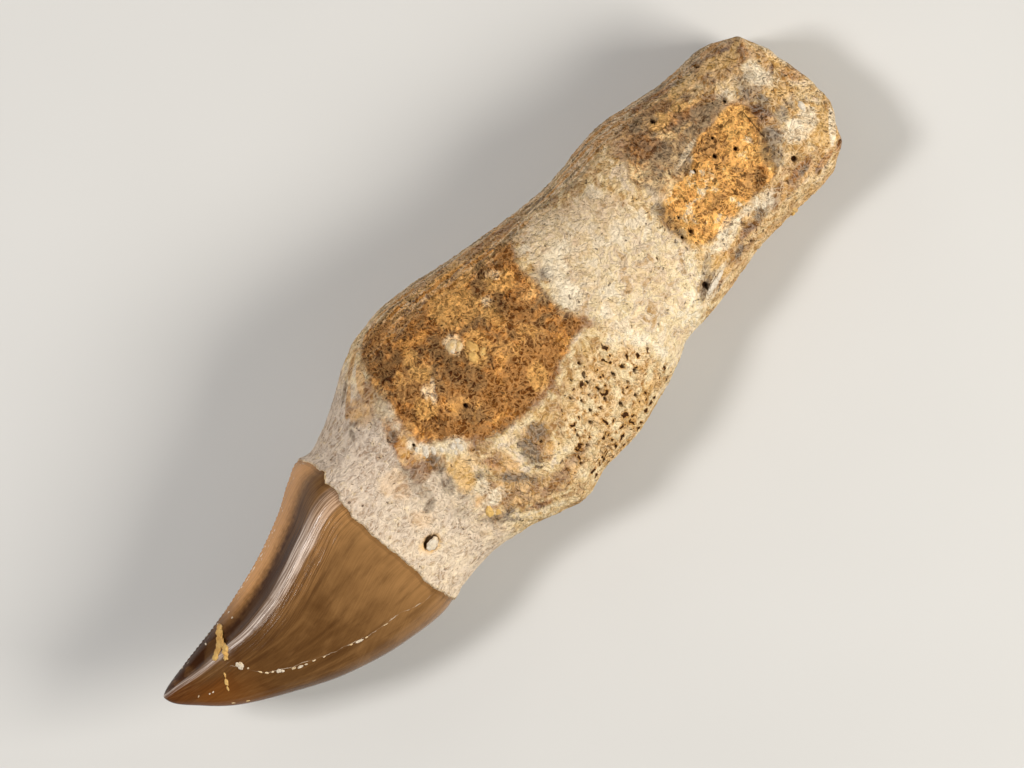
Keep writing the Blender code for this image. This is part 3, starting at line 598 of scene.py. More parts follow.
def ring_faces(rings, columns, first=0):
    """Face corners and sizes of a closed form: a point, its rings and a last point."""
    index = np.arange(rings * columns).reshape(rings, columns) + first + 1
    right = np.roll(index, -1, axis=1)
    quads = np.stack([right[:-1], index[:-1], index[1:], right[1:]], axis=-1).reshape(-1)
    start = np.stack([np.full(columns, first), index[0], right[0]], axis=-1).reshape(-1)
    last = np.full(columns, first + 1 + rings * columns)
    end = np.stack([right[-1], index[-1], last], axis=-1).reshape(-1)
    sizes = np.repeat([4, 3], [(rings - 1) * columns, 2 * columns])
    return np.concatenate([quads, start, end]), sizes


def filled_mesh(name, points, corners, sizes, marks):
    """Put points in mm, face corners and face sizes into a smooth mesh in the frame's metres.

    marks are point attributes, each a flat array or an array of 3-vectors.
    """
    mesh = bpy.data.meshes.new(name)
    mesh.vertices.add(len(points))
    place = (points - [LENGTH / 2, 0, 0]) * MM
    mesh.vertices.foreach_set("co", place.astype(np.float32).reshape(-1))
    mesh.loops.add(len(corners))
    mesh.loops.foreach_set("vertex_index", corners.astype(np.int32))
    mesh.polygons.add(len(sizes))
    starts = np.concatenate([[0], np.cumsum(sizes)[:-1]])
    mesh.polygons.foreach_set("loop_start", starts.astype(np.int32))
    mesh.update(calc_edges=True)
    mesh.validate()
    for mark, values in marks.items():
        if values.ndim > 1:
            layer = mesh.attributes.new(mark, "FLOAT_VECTOR", "POINT")
            layer.data.foreach_set("vector", values.astype(np.float32).reshape(-1))
        else:
            layer = mesh.attributes.new(mark, "FLOAT", "POINT")
            layer.data.foreach_set("value", values.astype(np.float32))
    mesh.shade_smooth()
    return mesh


def closed_mesh(name, start, rings, end, marks):
    """A closed mesh from a grid of rings and one point at each end; marks are grids like the rings."""
    columns = rings.shape[1]
    points = np.concatenate([[start], rings.reshape(-1, 3), [end]])
    corners, sizes = ring_faces(len(rings), columns)
    ended = {}
    for mark, values in marks.items():
        first, last = values[0].mean(axis=0).reshape(1, -1), values[-1].mean(axis=0).reshape(1, -1)
        flat = np.concatenate([first, values.reshape(len(rings) * columns, -1), last])
        ended[mark] = flat if flat.shape[1] > 1 else flat[:, 0]
    return filled_mesh(name, points, corners, sizes, ended)


def piece(name, mesh, material):
    """Link a finished mesh as a piece that rides on the tooth and stands for its solid."""
    thing = bpy.data.objects.new(name, mesh)
    bpy.context.scene.collection.objects.link(thing)
    mesh.materials.append(material)
    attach(thing, BODY)
    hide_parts(NODE)
    return thing


class ToothSizes(bpy.types.PropertyGroup):
    """How finely the tooth is meshed, and how deep its finest relief is."""

    crown_rings: IntProperty(name="Crown rings", description="Rings along the crown", default=250)
    crown_columns: IntProperty(name="Crown columns", description="Points round it", default=288)
    root_rings: IntProperty(name="Root rings", description="Rings along the root", default=590)
    root_columns: IntProperty(name="Root columns", description="Points round it", default=300)
    end_rings: IntProperty(name="End rings", description="Rings on the broken end", default=30)
    fibre_depth: FloatProperty(
        name="Fibre depth",
        description="Depth of the bone's fine fibres",
        default=0.0004,
        unit="LENGTH",
    )
    line_depth: FloatProperty(
        name="Line depth",
        description="Depth of the enamel's lengthwise lines",
        default=0.00006,
        unit="LENGTH",
    )


def colour_property(name, description, default):
    """A linear colour."""
    return FloatVectorProperty(
        name=name, description=description, default=default, subtype="COLOR", min=0, max=1
    )


def power_property(name, description, default):
    """A lamp's power in watts."""
    return FloatProperty(name=name, description=description, default=default, unit="POWER")


class ToothColours(bpy.types.PropertyGroup):
    """The tooth's colours, as linear red, green and blue."""

    enamel_tip: colour_property("Enamel tip", "Enamel at the tip", (0.13, 0.042, 0.009))
    enamel_middle: colour_property("Enamel middle", "Halfway along the crown", (0.115, 0.052, 0.015))
    enamel_base: colour_property("Enamel base", "Enamel at the root", (0.30, 0.155, 0.055))
    # The trough colour is the enamel's darkest brown; it is also laid on as painted shade behind the
    # ridge and as a painted shadow past the bone's edge.
    enamel_trough: colour_property("Trough", "The dark hollow behind the ridge", (0.035, 0.010, 0.002))
    # The rear edge's orange is partly the enamel's own and partly painted light for its lit,
    # translucent thin edge.
    enamel_edge: colour_property("Rear edge", "The crown's rear edge", (0.66, 0.33, 0.12))
    # Laid on as a painted highlight along the crest, with some wear, broken by the fine lines.
    enamel_worn: colour_property("Worn crest", "Worn lines along the crest", (0.8, 0.67, 0.58))
    enamel_amber: colour_property("Amber", "The front edge by the tip", (0.2, 0.068, 0.011))
    # The collar runs from pale at the front to grey at the rear: partly the bone's own tint, partly
    # painted shade on the rear side.
    bone_grey: colour_property("Grey bone", "The rear of the collar by the crown", (0.55, 0.445, 0.36))
    bone_pale: colour_property("Pale bone", "The front of the collar by the crown", (0.73, 0.59, 0.43))
    bone_cream: colour_property("Cream bone", "The clean middle of the root", (0.84, 0.66, 0.37))
    ivory: colour_property("Ivory", "The cleanest bone", (0.88, 0.76, 0.56))
    wash: colour_property("Wash", "Broad brown stains", (0.38, 0.20, 0.07))
    bone_tan: colour_property("Tan bone", "Between the stains", (0.53, 0.33, 0.135))
    peach: colour_property("Peach", "Faint warm stains", (0.72, 0.46, 0.23))
    rust: colour_property("Rust", "The rust-stained patch", (0.40, 0.155, 0.026))
    # Dark rust is also laid on as painted shade in the rust patch's hollows and along the patches'
    # edges.
    rust_dark: colour_property("Dark rust", "Its hollows", (0.11, 0.035, 0.008))
    rust_brown: colour_property("Brown rust", "Its browner parts", (0.24, 0.095, 0.022))
    rust_light: colour_property("Light rust", "Its lighter parts", (0.52, 0.23, 0.045))
    gold: colour_property("Gold", "The gold-stained patch", (0.68, 0.37, 0.105))
    honey: colour_property("Honey", "Yellow stains", (0.78, 0.50, 0.17))
    slate: colour_property("Slate", "Grey stains", (0.27, 0.2, 0.13))
    dark_stain: colour_property("Dark stain", "Small dark stains", (0.15, 0.10, 0.06))
    chalk: colour_property("Chalk", "White flecks and chips", (0.80, 0.70, 0.56))
    ochre: colour_property("Ochre", "Ochre sediment", (0.68, 0.37, 0.11))
    # The pore colour is painted shade inside the pits and pores.
    pore: colour_property("Pore", "The inside of pores", (0.035, 0.009, 0.003))


class StudioSettings(bpy.types.PropertyGroup):
    """The floor, the lights and the camera."""

    floor_colour: colour_property("Floor", "The plain pale floor", (0.56, 0.555, 0.54))
    key_power: power_property("Key", "Light from the front side", 3.5)
    crest_power: power_property("Crest", "Light on the crest", 1.6)
    fill_power: power_property("Fill", "Light from the rear side", 0.4)
    lens: FloatProperty(name="Lens", description="Focal length in mm", default=200)


class Signal:
    """A shader socket. Sums are for sockets of numbers, and colours go through mix."""

    def __init__(self, recipe, socket):
        self.recipe, self.socket = recipe, socket

    def math(self, operation, *values):
        return self.recipe.node("Math", {"operation": operation}, dict(enumerate(values)))

    def most(self, other):
        return self.math("MAXIMUM", self, other)

    def __add__(self, other):
        return self.math("ADD", self, other)

    def __sub__(self, other):
        return self.math("SUBTRACT", self, other)

    def __rsub__(self, other):
        return self.math("SUBTRACT", other, self)

    def __mul__(self, other):
        return self.math("MULTIPLY", self, other)

    def __abs__(self):
        return self.math("ABSOLUTE", self)

    __radd__, __rmul__ = __add__, __mul__


class Recipe:
    """A material's nodes. node() adds any of them; the other methods are its common uses."""

    def __init__(self, name, colours=None):
        self.colours = colours
        self.material = bpy.data.materials.new(name)
        self.material.use_nodes = True
        self.tree = self.material.node_tree
        self.tree.nodes.clear()
        where = self.node("TexCoord", output="Object")
        self.place = self.scale(where, 1 / MM)  # the place in the frame, in millimetres

    def node(self, kind, settings=None, values=None, output=0):
        """Add a shader node: its settings first, then its sockets' values or links.

        kind is the end of its type's name, and one output is given back.
        """
        made = self.tree.nodes.new("ShaderNode" + kind)
        for key, value in (settings or {}).items():
            if key == "stops":
                for _ in range(len(value) - 2):
                    made.color_ramp.elements.new(0.5)
                for element, (position, colour) in zip(made.color_ramp.elements, value):
                    element.position, element.color = position, colour
            else:
                setattr(made, key, value)
        for key, value in (values or {}).items():
            if isinstance(value, Signal):
                self.tree.links.new(value.socket, made.inputs[key])
            else:
                made.inputs[key].default_value = value
        return None if output is None else Signal(self, made.outputs[output])

    def scale(self, vector, factor):
        return self.node("VectorMath", {"operation": "SCALE"}, {0: vector, "Scale": factor})

    def stretch(self, vector, factors):
        return self.node("VectorMath", {"operation": "MULTIPLY"}, {0: vector, 1: factors})

    def shift(self, vector, other):
        return self.node("VectorMath", {"operation": "ADD"}, {0: vector, 1: other})

    def turn(self, vector, angles):
        return self.node("Mapping", None, {"Vector": vector, "Rotation": angles})

    def mark(self, name, output="Fac"):
        return self.node("Attribute", {"attribute_name": name}, output=output)

    def noise(self, per_mm, detail=3.0, distortion=0.0, rough=0.5, place=None):
        """Smooth noise around 0.5, at the place in the frame unless another place is given."""
        values = {"Vector": place or self.place, "Scale": per_mm, "Detail": detail}
        return self.node("TexNoise", None, {**values, "Roughness": rough, "Distortion": distortion})

    def ramp(self, share, *stops):
        """Colours along a share, each stop a position and a colour."""
        stops = [(position, self.tinted(colour)) for position, colour in stops]
        return self.node("ValToRGB", {"stops": stops}, {0: share})

    def ease(self, low, high, value):
        return self.node(
            "MapRange",
            {"interpolation_type": "SMOOTHSTEP"},
            {"Value": value, "From Min": low, "From Max": high},
        )

    def tinted(self, colour):
        """A Signal as it is, or a linear colour, which can be given by its name, with an alpha."""
        if isinstance(colour, Signal):
            return colour
        if isinstance(colour, str):
            colour = getattr(self.colours, colour)
        return (*colour[:3], 1)

    def mix(self, share, first, second, way="MIX"):
        """Blend two colours, each a Signal, a name or a linear colour."""
        first, second = self.tinted(first), self.tinted(second)
        settings = {"data_type": "RGBA", "blend_type": way}
        return self.node("Mix", settings, {0: share, 6: first, 7: second}, 2)

    def coats(self, colour, *coats):
        """Lay coats over a colour one after another, each a share and a colour."""
        for share, coat in coats:
            colour = self.mix(share, colour, coat)
        return colour

    def bump(self, height, depth, strength=1.0):
        """A normal from a height in shares of depth, which is in metres."""
        values = {"Height": height, "Distance": depth, "Strength": strength}
        return self.node("Bump", None, values)

    def lines(self, place, seed, per_mm, width):
        """Thin curved lines, 1 on them: where a smooth noise is within the width of its middle."""
        level = self.noise(per_mm, 1.0, 0.5, place=self.shift(place, (seed, 2 * seed, 3 * seed)))
        return self.ease(width, 0.3 * width, abs(level - 0.5))

    def furrows(self, place, seed, per_mm, count):
        """Short crooked hollows, 1 in them: where the sines of two noises are both low."""
        first = self.noise(per_mm, 0.0, 0.4, place=self.shift(place, (seed, 0, 2 * seed))) * count
        second = self.noise(1.1 * per_mm, 0.0, 0.4, place=self.shift(place, (0, seed, -seed))) * count
        high = first.math("SINE", first).most(second.math("SINE", second))
        return self.ease(0.25, -0.55, high)

    def weave(self, place, seed, per_mm, count):
        """Fibres side by side in curved bundles, 1 on each: the sine of a smooth noise times count."""
        level = self.noise(per_mm, 1.0, 0.8, place=self.shift(place, (seed, -seed, seed))) * count
        return self.ease(-0.6, 0.7, level.math("SINE", level))

    def finish(self, values):
        """Close the material with a Principled shader."""
        shader = self.node("BsdfPrincipled", None, values)
        self.node("OutputMaterial", None, {"Surface": shader}, None)
        return self.material


def enamel_finish(colours, sizes):
    """Glossy enamel, from a dark brown tip to a lighter base, with clouds and streaks in it.

    Over that lie amber at the front edge by the tip, painted shade on the trough and the slope behind
    the ridge, the orange rear edge, partly painted light for its lit, translucent thin edge, with
    painted glints on its serrations, fine lines beside the ridge that are lit near the crest as
    painted highlight lines, a painted highlight along the crest with some wear, a painted shadow just
    past the bone's edge, and the crack.
    """
    r = Recipe("enamel", colours)
    way = r.mark("way", "Vector")  # cosine and sine of the angle round the crown, and the distance
    along, behind, crest = r.mark("along"), r.mark("behind"), r.mark("crest")
    beside = r.node("CombineXYZ", None, {0: crest, 1: along * 0.02})
    hairs = r.noise(5.0, 2, rough=0.8, place=beside)
    streaks = r.noise(1.0, 4, rough=0.6, place=r.stretch(way, (12, 12, 0.12)))
    clouds = r.noise(0.28, 4, 0.5)
    flecks = r.noise(1.6)
    striae = r.ease(0.42, 0.58, hairs)
    near = r.ease(5.5, 1.0, abs(crest)) * (1 - 0.7 * r.ease(0.05, 0.3, behind))
    near_tip = r.ease(22, 5, along)

    amber = r.ease(-0.5, -5.0, crest + (clouds - 0.5) * 8) * r.ease(14, 3, along)
    # Painted shade: the slope behind the ridge and its trough are darkened, as if they mirrored
    # darkness.
    hollow = r.ease(0.08, 0.35, behind) * (1 - 0.45 * r.ease(27, 36, along))
    hollow = hollow * (1 - 0.6 * r.ease(0.5, 0.62, clouds) * near_tip)
    # The orange rear edge: the enamel's own orange, partly painted light for the lit, translucent thin
    # edge.
    rear = r.ease(0.55, 0.85, behind + (flecks - 0.5) * 0.15) * r.ease(9, 20, along)
    # Painted glints on the rear edge's serrations, laid in the chalk colour.
    serration_glints = r.ease(0.6, 0.68, flecks) * r.ease(0.86, 0.97, behind)
    # The worn band: a painted highlight along the crest, with some wear, broken by the fine lines.
    width = 0.1 + r.ease(5, 20, along) * 0.5 + r.ease(18, 30, along) * 0.6
    wear_and_highlight = r.ease(1.0, 0.35, abs(crest - 0.25 + (streaks - 0.5)) - width + 0.6)
    wear_and_highlight = wear_and_highlight * (0.25 + 0.75 * striae) * r.ease(0.3, 0.6, r.noise(0.5) + 0.15)
    wear_and_highlight = wear_and_highlight * (1 - 0.6 * r.ease(28, 33, along))
    # Painted shadow: a thin dark line on the enamel just past the bone's edge.
    rim = r.ease(0.22, 0.02, r.mark("rim") + (flecks - 0.5) * 0.3)
    wobble = (r.noise(0.9, 4) - 0.5) * 0.5
    presence = r.ease(0.42, 0.6, r.noise(0.8))
    crack = r.ease(0.04, -0.02, abs(r.mark("crack") + wobble) - presence * 0.035) * r.mark("cracked")
    crack = crack * (0.25 + 0.65 * presence)
    colour = r.coats(
        r.ramp(
            along * (1 / BROWNS_SPAN) + clouds * 0.3 - 0.15,
            (0, "enamel_tip"),
            (0.2, "enamel_middle"),
            (0.6, "enamel_middle"),
            (1, "enamel_base"),
        ),
        (r.ease(0.5, 0.68, clouds) * 0.16, "enamel_base"),
        (r.ease(0.5, 0.34, clouds) * (0.06 + 0.4 * near_tip), "enamel_trough"),
        (r.ease(0.5, 0.7, streaks) * 0.3, "enamel_base"),
        (r.ease(0.5, 0.34, streaks) * 0.3, "enamel_trough"),
        (amber * 0.8, "enamel_amber"),
        # painted shade behind the ridge
        (hollow * 0.92, "enamel_trough"),
        (rear * (0.9 - 0.2 * r.ease(22, 32, along)), "enamel_edge"),
        # painted glints on the serrations
        (serration_glints * 0.8, "chalk"),
        # Fine lines beside the ridge: darker between them, and near the crest lit as painted highlight
        # lines.
        ((1 - striae) * (0.14 + 0.2 * near), "enamel_trough"),
        (striae * near * r.ease(14, 30, along) * 0.3, "enamel_edge"),
        # painted highlight along the crest, with some wear
        (wear_and_highlight * 0.72, "enamel_worn"),
        # painted shadow past the bone's edge
        (rim * 0.25, "enamel_trough"),
        (crack, r.mix(0.45, "enamel_base", "chalk")),
    )

    ground = r.ease(0.2, 0.75, flecks)
    height = hairs * (0.3 + 0.6 * near) + streaks * 0.2 - crack * 0.8
    return r.finish({
        "Base Color": colour,
        "Roughness": 0.15 + ground * 0.09 + crack * 0.4,
        "Specular IOR Level": 0.22,
        "Coat Weight": (1 - crack) * 0.05,
        "Coat Roughness": 0.15,
        "Normal": r.bump(height, sizes.line_depth, 0.9),
    })  # fmt: skip


def bone_finish(colours, sizes):
    """Fibrous fossil bone, from a grey and pale collar by the crown to tan bone with a cream band.

    Over that lie the porous stretch, the ragged grey, rust and gold patches with broken dark
    outlines of painted shade along their edges, a streaked strip along the rear edge and the small
    stains; the collar, the cream band and the strip grow greyer and darker towards the rear edge,
    partly the bone's own grey and partly painted shade. Then the hollows of fibres, clumps and grit
    are darkened as painted shade and their crests paled as painted highlights, and last come pores,
    dots, lip and split: the pits and pores darkened as painted shade, the split a dark line, and the
    lip paled partly as a painted highlight.
    """
    r = Recipe("bone", colours)
    along, across = r.mark("along"), r.mark("across")
    threads = r.turn(r.mark("grain", "Vector"), (0.7, 0.5, 0.9))
    blotches = r.noise(0.45, 4, 0.3)
    clumps = r.noise(1.0, 4, 0.3, 0.6)
    grit = r.noise(2.8, 4, 1.0, 0.6, threads)
    bundles = r.ease(0.42, 0.56, r.noise(0.7, 3, 0.5))
    woven, crossed = r.weave(threads, 7.0, 0.4, 32.0), r.weave(threads, 23.0, 0.6, 24.0)
    fibres = woven * bundles + crossed * (1 - bundles)
    strokes = r.lines(threads, 3.0, 0.8, 0.07).most(r.lines(threads, 17.0, 0.55, 0.055))
    furrows = r.furrows(threads, 5.0, 0.55, 26.0)
    tone = r.mark("fine") * 0.7 + (clumps - 0.5) * 2
    relief = (strokes - furrows) * 0.3
    ragged = (r.noise(0.35, 6, 0.4, 0.65) - 0.5) * 6 + relief + tone * 0.2
    frayed = (r.noise(1.1, 4, 0.4, 0.6) - 0.5) * 3 + relief
    broad = r.ease(0.36, 0.64, r.noise(0.2, 2, 0.5, place=r.shift(r.place, (9, 4, 2))))
    drift = broad * 0.4 + r.ease(0.36, 0.64, r.noise(0.55, 5, 0.6, 0.6)) * 0.6 + tone * 0.1

    def patch(name, soft, spread):
        return r.ease(-soft, soft, r.mark(name) + ragged * spread)

    def spot(name):
        return r.ease(-0.35, 0.55, r.mark(name) + frayed * 0.5 + 0.15)

    in_rust, in_gold = patch("rust", 0.5, 0.45), patch("gold", 0.4, 0.35)
    in_grey, in_cream = patch("grey", 0.8, 0.7), patch("cream", 0.9, 0.9)
    porous = patch("porous", 1.0, 0.8)
    # Towards the rear edge the bone is painted greyer and darker: partly its own grey, partly painted
    # shade on the rear side.
    rear = r.ease(-0.7, 0.8, across)
    far = r.ease(*FAR_START, along + ragged * 2)
    blush = r.ease(0.48, 0.68, r.noise(0.3, 3, 0.5))
    cream = r.coats(
        r.ramp(drift, (0.0, "bone_tan"), (0.22, "bone_pale"), (0.5, "bone_cream"),
               (0.75, "ivory")),
        (blush * 0.4, "peach"),
        # partly painted shade on the rear side
        (rear * 0.5, r.mix(0.35, "bone_tan", "bone_grey")),
    )  # fmt: skip
    collar = r.coats(
        # grey towards the rear: partly the bone's tint, partly painted shade
        r.mix(rear * 0.9, "bone_pale", "bone_grey"),
        (r.ease(0.42, 0.62, blotches) * 0.5, "bone_grey"),
        (r.ease(0.55, 0.7, clumps) * 0.4, "bone_cream"),
    )
    tan = r.coats(
        r.ramp(drift, (0.05, "wash"), (0.38, "bone_tan"), (0.65, "bone_cream"),
               (0.95, "bone_pale")),
        (r.ease(0.45, 0.62, blotches) * 0.35, "honey"),
        (far * (0.25 + blush * 0.45), "gold"),
    )  # fmt: skip
    sponge = r.mix(0.75, "bone_cream", "gold")
    sponge = r.mix(r.ease(0.38, 0.62, blotches), "bone_cream", sponge)
    mottle = r.ramp(drift, (0.1, "dark_stain"), (0.32, "slate"), (0.55, "bone_tan"),
                    (0.85, "bone_cream"))  # fmt: skip
    mottle = r.mix(r.ease(0.5, 0.65, clumps) * 0.6, mottle, "rust")
    rust = r.coats(
        r.ramp(drift, (0.15, "rust_dark"), (0.4, "rust_brown"), (0.62, "rust"),
               (0.85, "rust_light"), (1.0, "gold")),
        # painted shade: darker where the relief is low
        (r.ease(0.0, -0.9, tone) * 0.6, "rust_dark"),
        (r.ease(0.52, 0.62, r.noise(0.16)) * 0.25, mottle),
    )  # fmt: skip
    gold = r.ramp(drift, (0.1, "wash"), (0.35, "ochre"), (0.6, "gold"),
                  (0.78, "honey"), (0.95, "ivory"))  # fmt: skip
    # Painted shade: the gold patch darker where the relief is low.
    gold = r.mix(r.ease(0.0, -0.8, tone) * 0.6, gold, "wash")
    colour = r.coats(
        r.mix(r.ease(*COLLAR_END, along + ragged * 2), collar, tan),
        (in_cream, cream),
        (porous * 0.8, sponge),
        (in_grey * 0.9, mottle),
        (in_rust, rust),
        (in_gold, gold),
    )
    breaks = r.ease(0.42, 0.56, r.noise(0.25, 2))
    # Painted shade along the patches' edges, where the rust and gold patches sink: broken dark lines.
    for name, spread in (("rust", 0.45), ("gold", 0.35), ("grey", 0.7)):
        edge_shade = r.ease(0.5, 0.05, abs(r.mark(name) + ragged * spread)) * breaks
        colour = r.mix(edge_shade * 0.6, colour, "rust_dark")
    # A streaked strip along the rear edge: the bone's own streaks, darkened partly as painted shade on
    # the rear side.
    strip = r.ease(0.72, 0.9, across + ragged * 0.04) * r.ease(45, 60, along)
    streaks = r.noise(1.1, 4, place=r.stretch(r.place, (0.12, 1, 1)))
    streaked = r.ramp(streaks, (0.4, "dark_stain"), (0.46, "bone_tan"),
                      (0.51, "bone_pale"), (0.58, "rust_light"))  # fmt: skip
    brown = r.ramp(drift, (0.1, "rust_brown"), (0.45, "wash"), (0.85, "gold"))
    broken = 0.6 + 0.4 * r.ease(0.6, 0.4, clumps)
    colour = r.coats(
        colour,
        (strip * 0.8, streaked),
        (spot("umber") * 0.9, r.mix(clumps, "rust_dark", "rust")),
        (spot("wash") * 0.8, brown),
        (spot("peach") * 0.4, "peach"),
        (spot("slate") * (broken * 0.65), "slate"),
        (spot("rusty") * 0.9, rust),
        (spot("honey") * (0.85 - 0.3 * in_rust), r.mix(clumps, "gold", "honey")),
        (spot("dark") * broken, r.mix(in_rust, "dark_stain", "rust_dark")),
        (spot("chalk") * (0.55 + 0.4 * r.ease(-0.3, 0.5, tone)), "ivory"),
    )

    # Painted shade and painted highlights on the relief: hollows of fibres, furrows, clumps and grit
    # (low) are darkened, their crests and strokes (high) paled.
    stained = in_rust.most(in_gold).most(in_grey * 0.6)
    lively = stained.most(far * 0.6).most(porous * 0.7)
    deep = r.mix(1.0, colour, r.mix(lively, (0.55, 0.42, 0.3), (0.3, 0.16, 0.09)), "MULTIPLY")
    pale = r.mix(1.0, colour, r.mix(stained, (1.3, 1.28, 1.25), (1.6, 1.35, 1.1)), "MULTIPLY")
    pale = r.mix(0.25, pale, r.mix(stained, (1.0, 0.9, 0.74), (1.0, 0.7, 0.3)))
    low = (furrows * (0.8 - 0.4 * lively)).most(r.ease(0.0, -1.0, tone) * 0.8)
    low = low.most(r.ease(0.45, 0.37, grit) * 0.9)
    low = low.most(r.ease(0.5, 0.1, fibres) * (0.2 + 0.4 * lively))
    high = strokes.most(r.ease(0.1, 1.0, tone) * 0.6).most(r.ease(0.54, 0.62, grit) * 0.9)
    high = high.most(r.ease(0.5, 0.95, fibres) * (0.25 + 0.35 * lively))
    plain = r.ease(*COLLAR_END[::-1], along + ragged)
    shade = 0.35 + 0.25 * plain - 0.1 * in_cream + 0.35 * lively
    # painted shade in the hollows, then painted highlights on the crests
    colour = r.mix(low * shade * (0.5 + r.ease(0.3, 0.6, blotches)), colour, deep)
    colour = r.mix(high * (0.6 + 0.3 * lively), colour, pale)

    sway = r.node("TexNoise", None, {"Vector": r.place, "Scale": 0.7, "Detail": 3.0}, "Color")
    swayed = r.stretch(r.shift(r.place, r.scale(sway, 2.6)), (1.0, 0.75, 1.0))
    cells = {"Vector": swayed, "Scale": 0.85}
    away = r.node("TexVoronoi", None, cells) * 1.25
    cell_colour = r.node("TexVoronoi", None, cells, "Color")
    chance = r.ease(0.1, 0.9, r.node("SeparateColor", None, {0: cell_colour}))
    width = chance * (0.17 + 0.27 * porous + 0.1 * in_gold + 0.08 * far) + (clumps - 0.5) * 0.3
    pore = r.ease(0.05, -0.03, away - width)
    halo = r.ease(0.45, 0.02, away - width) * (0.1 + 0.75 * porous)
    dots = r.node("TexVoronoi", None, {"Vector": r.place, "Scale": 1.4})
    # The lip over the enamel paled: partly the bone's pale edge, partly a painted highlight on the
    # raised lip.
    lip = r.ease(0.8, 0.3, along - r.mark("margin") + (clumps - 0.5) * 0.8)
    x, y, z = (r.node("SeparateXYZ", None, {0: r.place}, output=axis) for axis in (0, 1, 2))
    split = r.ease(0.12, 0.04, abs(x - y * SPLIT_LEAN - SPLIT_X))
    split = split * r.ease(2.6, 2.0, abs(y - SPLIT_Y)) * r.ease(9, 12, z)
    # Painted shade: the pits' and pores' insides darkened, deeper ones darker, with the split's dark
    # line.
    dark = r.ease(0.1, 0.9, r.mark("hollow")).most(pore * (0.7 + 0.3 * porous)).most(split * 0.8)
    colour = r.coats(
        colour,
        (halo, r.mix(r.ease(0.4, 0.6, grit), "rust", "gold")),
        (r.ease(0.13, 0.05, dots) * (0.6 + 0.2 * plain), "dark_stain"),
        (lip * 0.7, r.mix(r.ease(0.45, 0.6, grit), "honey", "ivory")),
        # painted shade in pits and pores
        (dark * 0.95, "pore"),
    )

    height = (strokes * 0.4 - furrows * 0.4) * (0.5 + 0.5 * lively) + fibres * (0.5 - 0.3 * plain)
    height = height + clumps * 0.6 + grit * 0.8 - pore
    return r.finish({
        "Base Color": colour,
        "Roughness": 0.68 + clumps * 0.25,
        "Specular IOR Level": 0.12,
        "Normal": r.bump(height, sizes.fibre_depth),
    })  # fmt: skip


def sediment_finish(colours, sizes):
    """Dull crumbly sediment: its tint runs from chalk through honey to ochre."""
    r = Recipe("sediment", colours)
    tint, crumbs, blotches = r.mark("tint"), r.noise(2.2, 5, 1.0, 0.65), r.noise(0.9)
    colour = r.coats(
        r.mix(r.ease(0.1, 0.5, tint + (blotches - 0.5) * 0.4), "chalk", "honey"),
        (r.ease(0.5, 0.9, tint) * r.ease(0.7, 0.4, blotches), "ochre"),
        (r.ease(0.42, 0.3, crumbs) * 0.45, "rust"),
        (r.ease(0.55, 0.7, crumbs) * 0.5, "bone_cream"),
    )
    return r.finish({
        "Base Color": colour,
        "Roughness": 0.7 + crumbs * 0.25,
        "Specular IOR Level": 0.15,
        "Normal": r.bump(crumbs, sizes.fibre_depth),
    })  # fmt: skip


def floor_finish(studio):
    """A plain pale floor, faintly uneven in tone."""
    r = Recipe("floor")
    tone = r.mix(r.noise(0.02, 2) * 0.1, studio.floor_colour, (1, 1, 1))
    return r.finish({"Base Color": tone, "Roughness": 0.6})


def upper_side(around):
    """1 on the upper side, 0 below, eased across the rear and front edges."""
    return ease(-0.05, 0.15, np.sin(around))


def crown_mesh(sizes):
    """The crown: rings from the tip to just under the bone's edge, closed inside the root."""
    share = np.linspace(0, 1, sizes.crown_rings + 1)[1:, None]
    along = (MARGIN + 1.2) * share**1.5
    around = turns(sizes.crown_columns, 0.35)[None, :]
    rings = section(along, around)
    up = upper_side(around) + 0 * along
    above = up > 0.5
    x, y = rings[..., 0], rings[..., 1]
    behind = behind_ridge(rings)
    far, side = np.array(CRACK, float).T
    marks = {
        "along": x,
        "behind": np.where(above, behind, 0.3 + 0.7 * behind) - 0.8 * ease(0.05, 0.6, -np.sin(around)),
        # distance to the bone's edge, for the painted shadow just past it
        "rim": margin_distance(plan_angle(rings, above)) - x,
        "crest": np.where(above, y - rail(UPPER_RIDGE, x), -9.0),
        "crack": np.where(above, y - np.interp(x, far, side), 9.0),
        "cracked": ease(far[0] - 0.3, far[0] + 0.3, x) * (1 - ease(33, 35.5, x)),
        "way": np.stack([np.cos(around) + 0 * along, np.sin(around) + 0 * along, x], axis=-1),
    }
    rings = rings + outward(rings) * crown_relief(rings, up)[..., None]
    tip = section(np.zeros(1), np.zeros(1))[0]
    return closed_mesh("crown", tip, rings, rings[-1].mean(axis=0), marks)


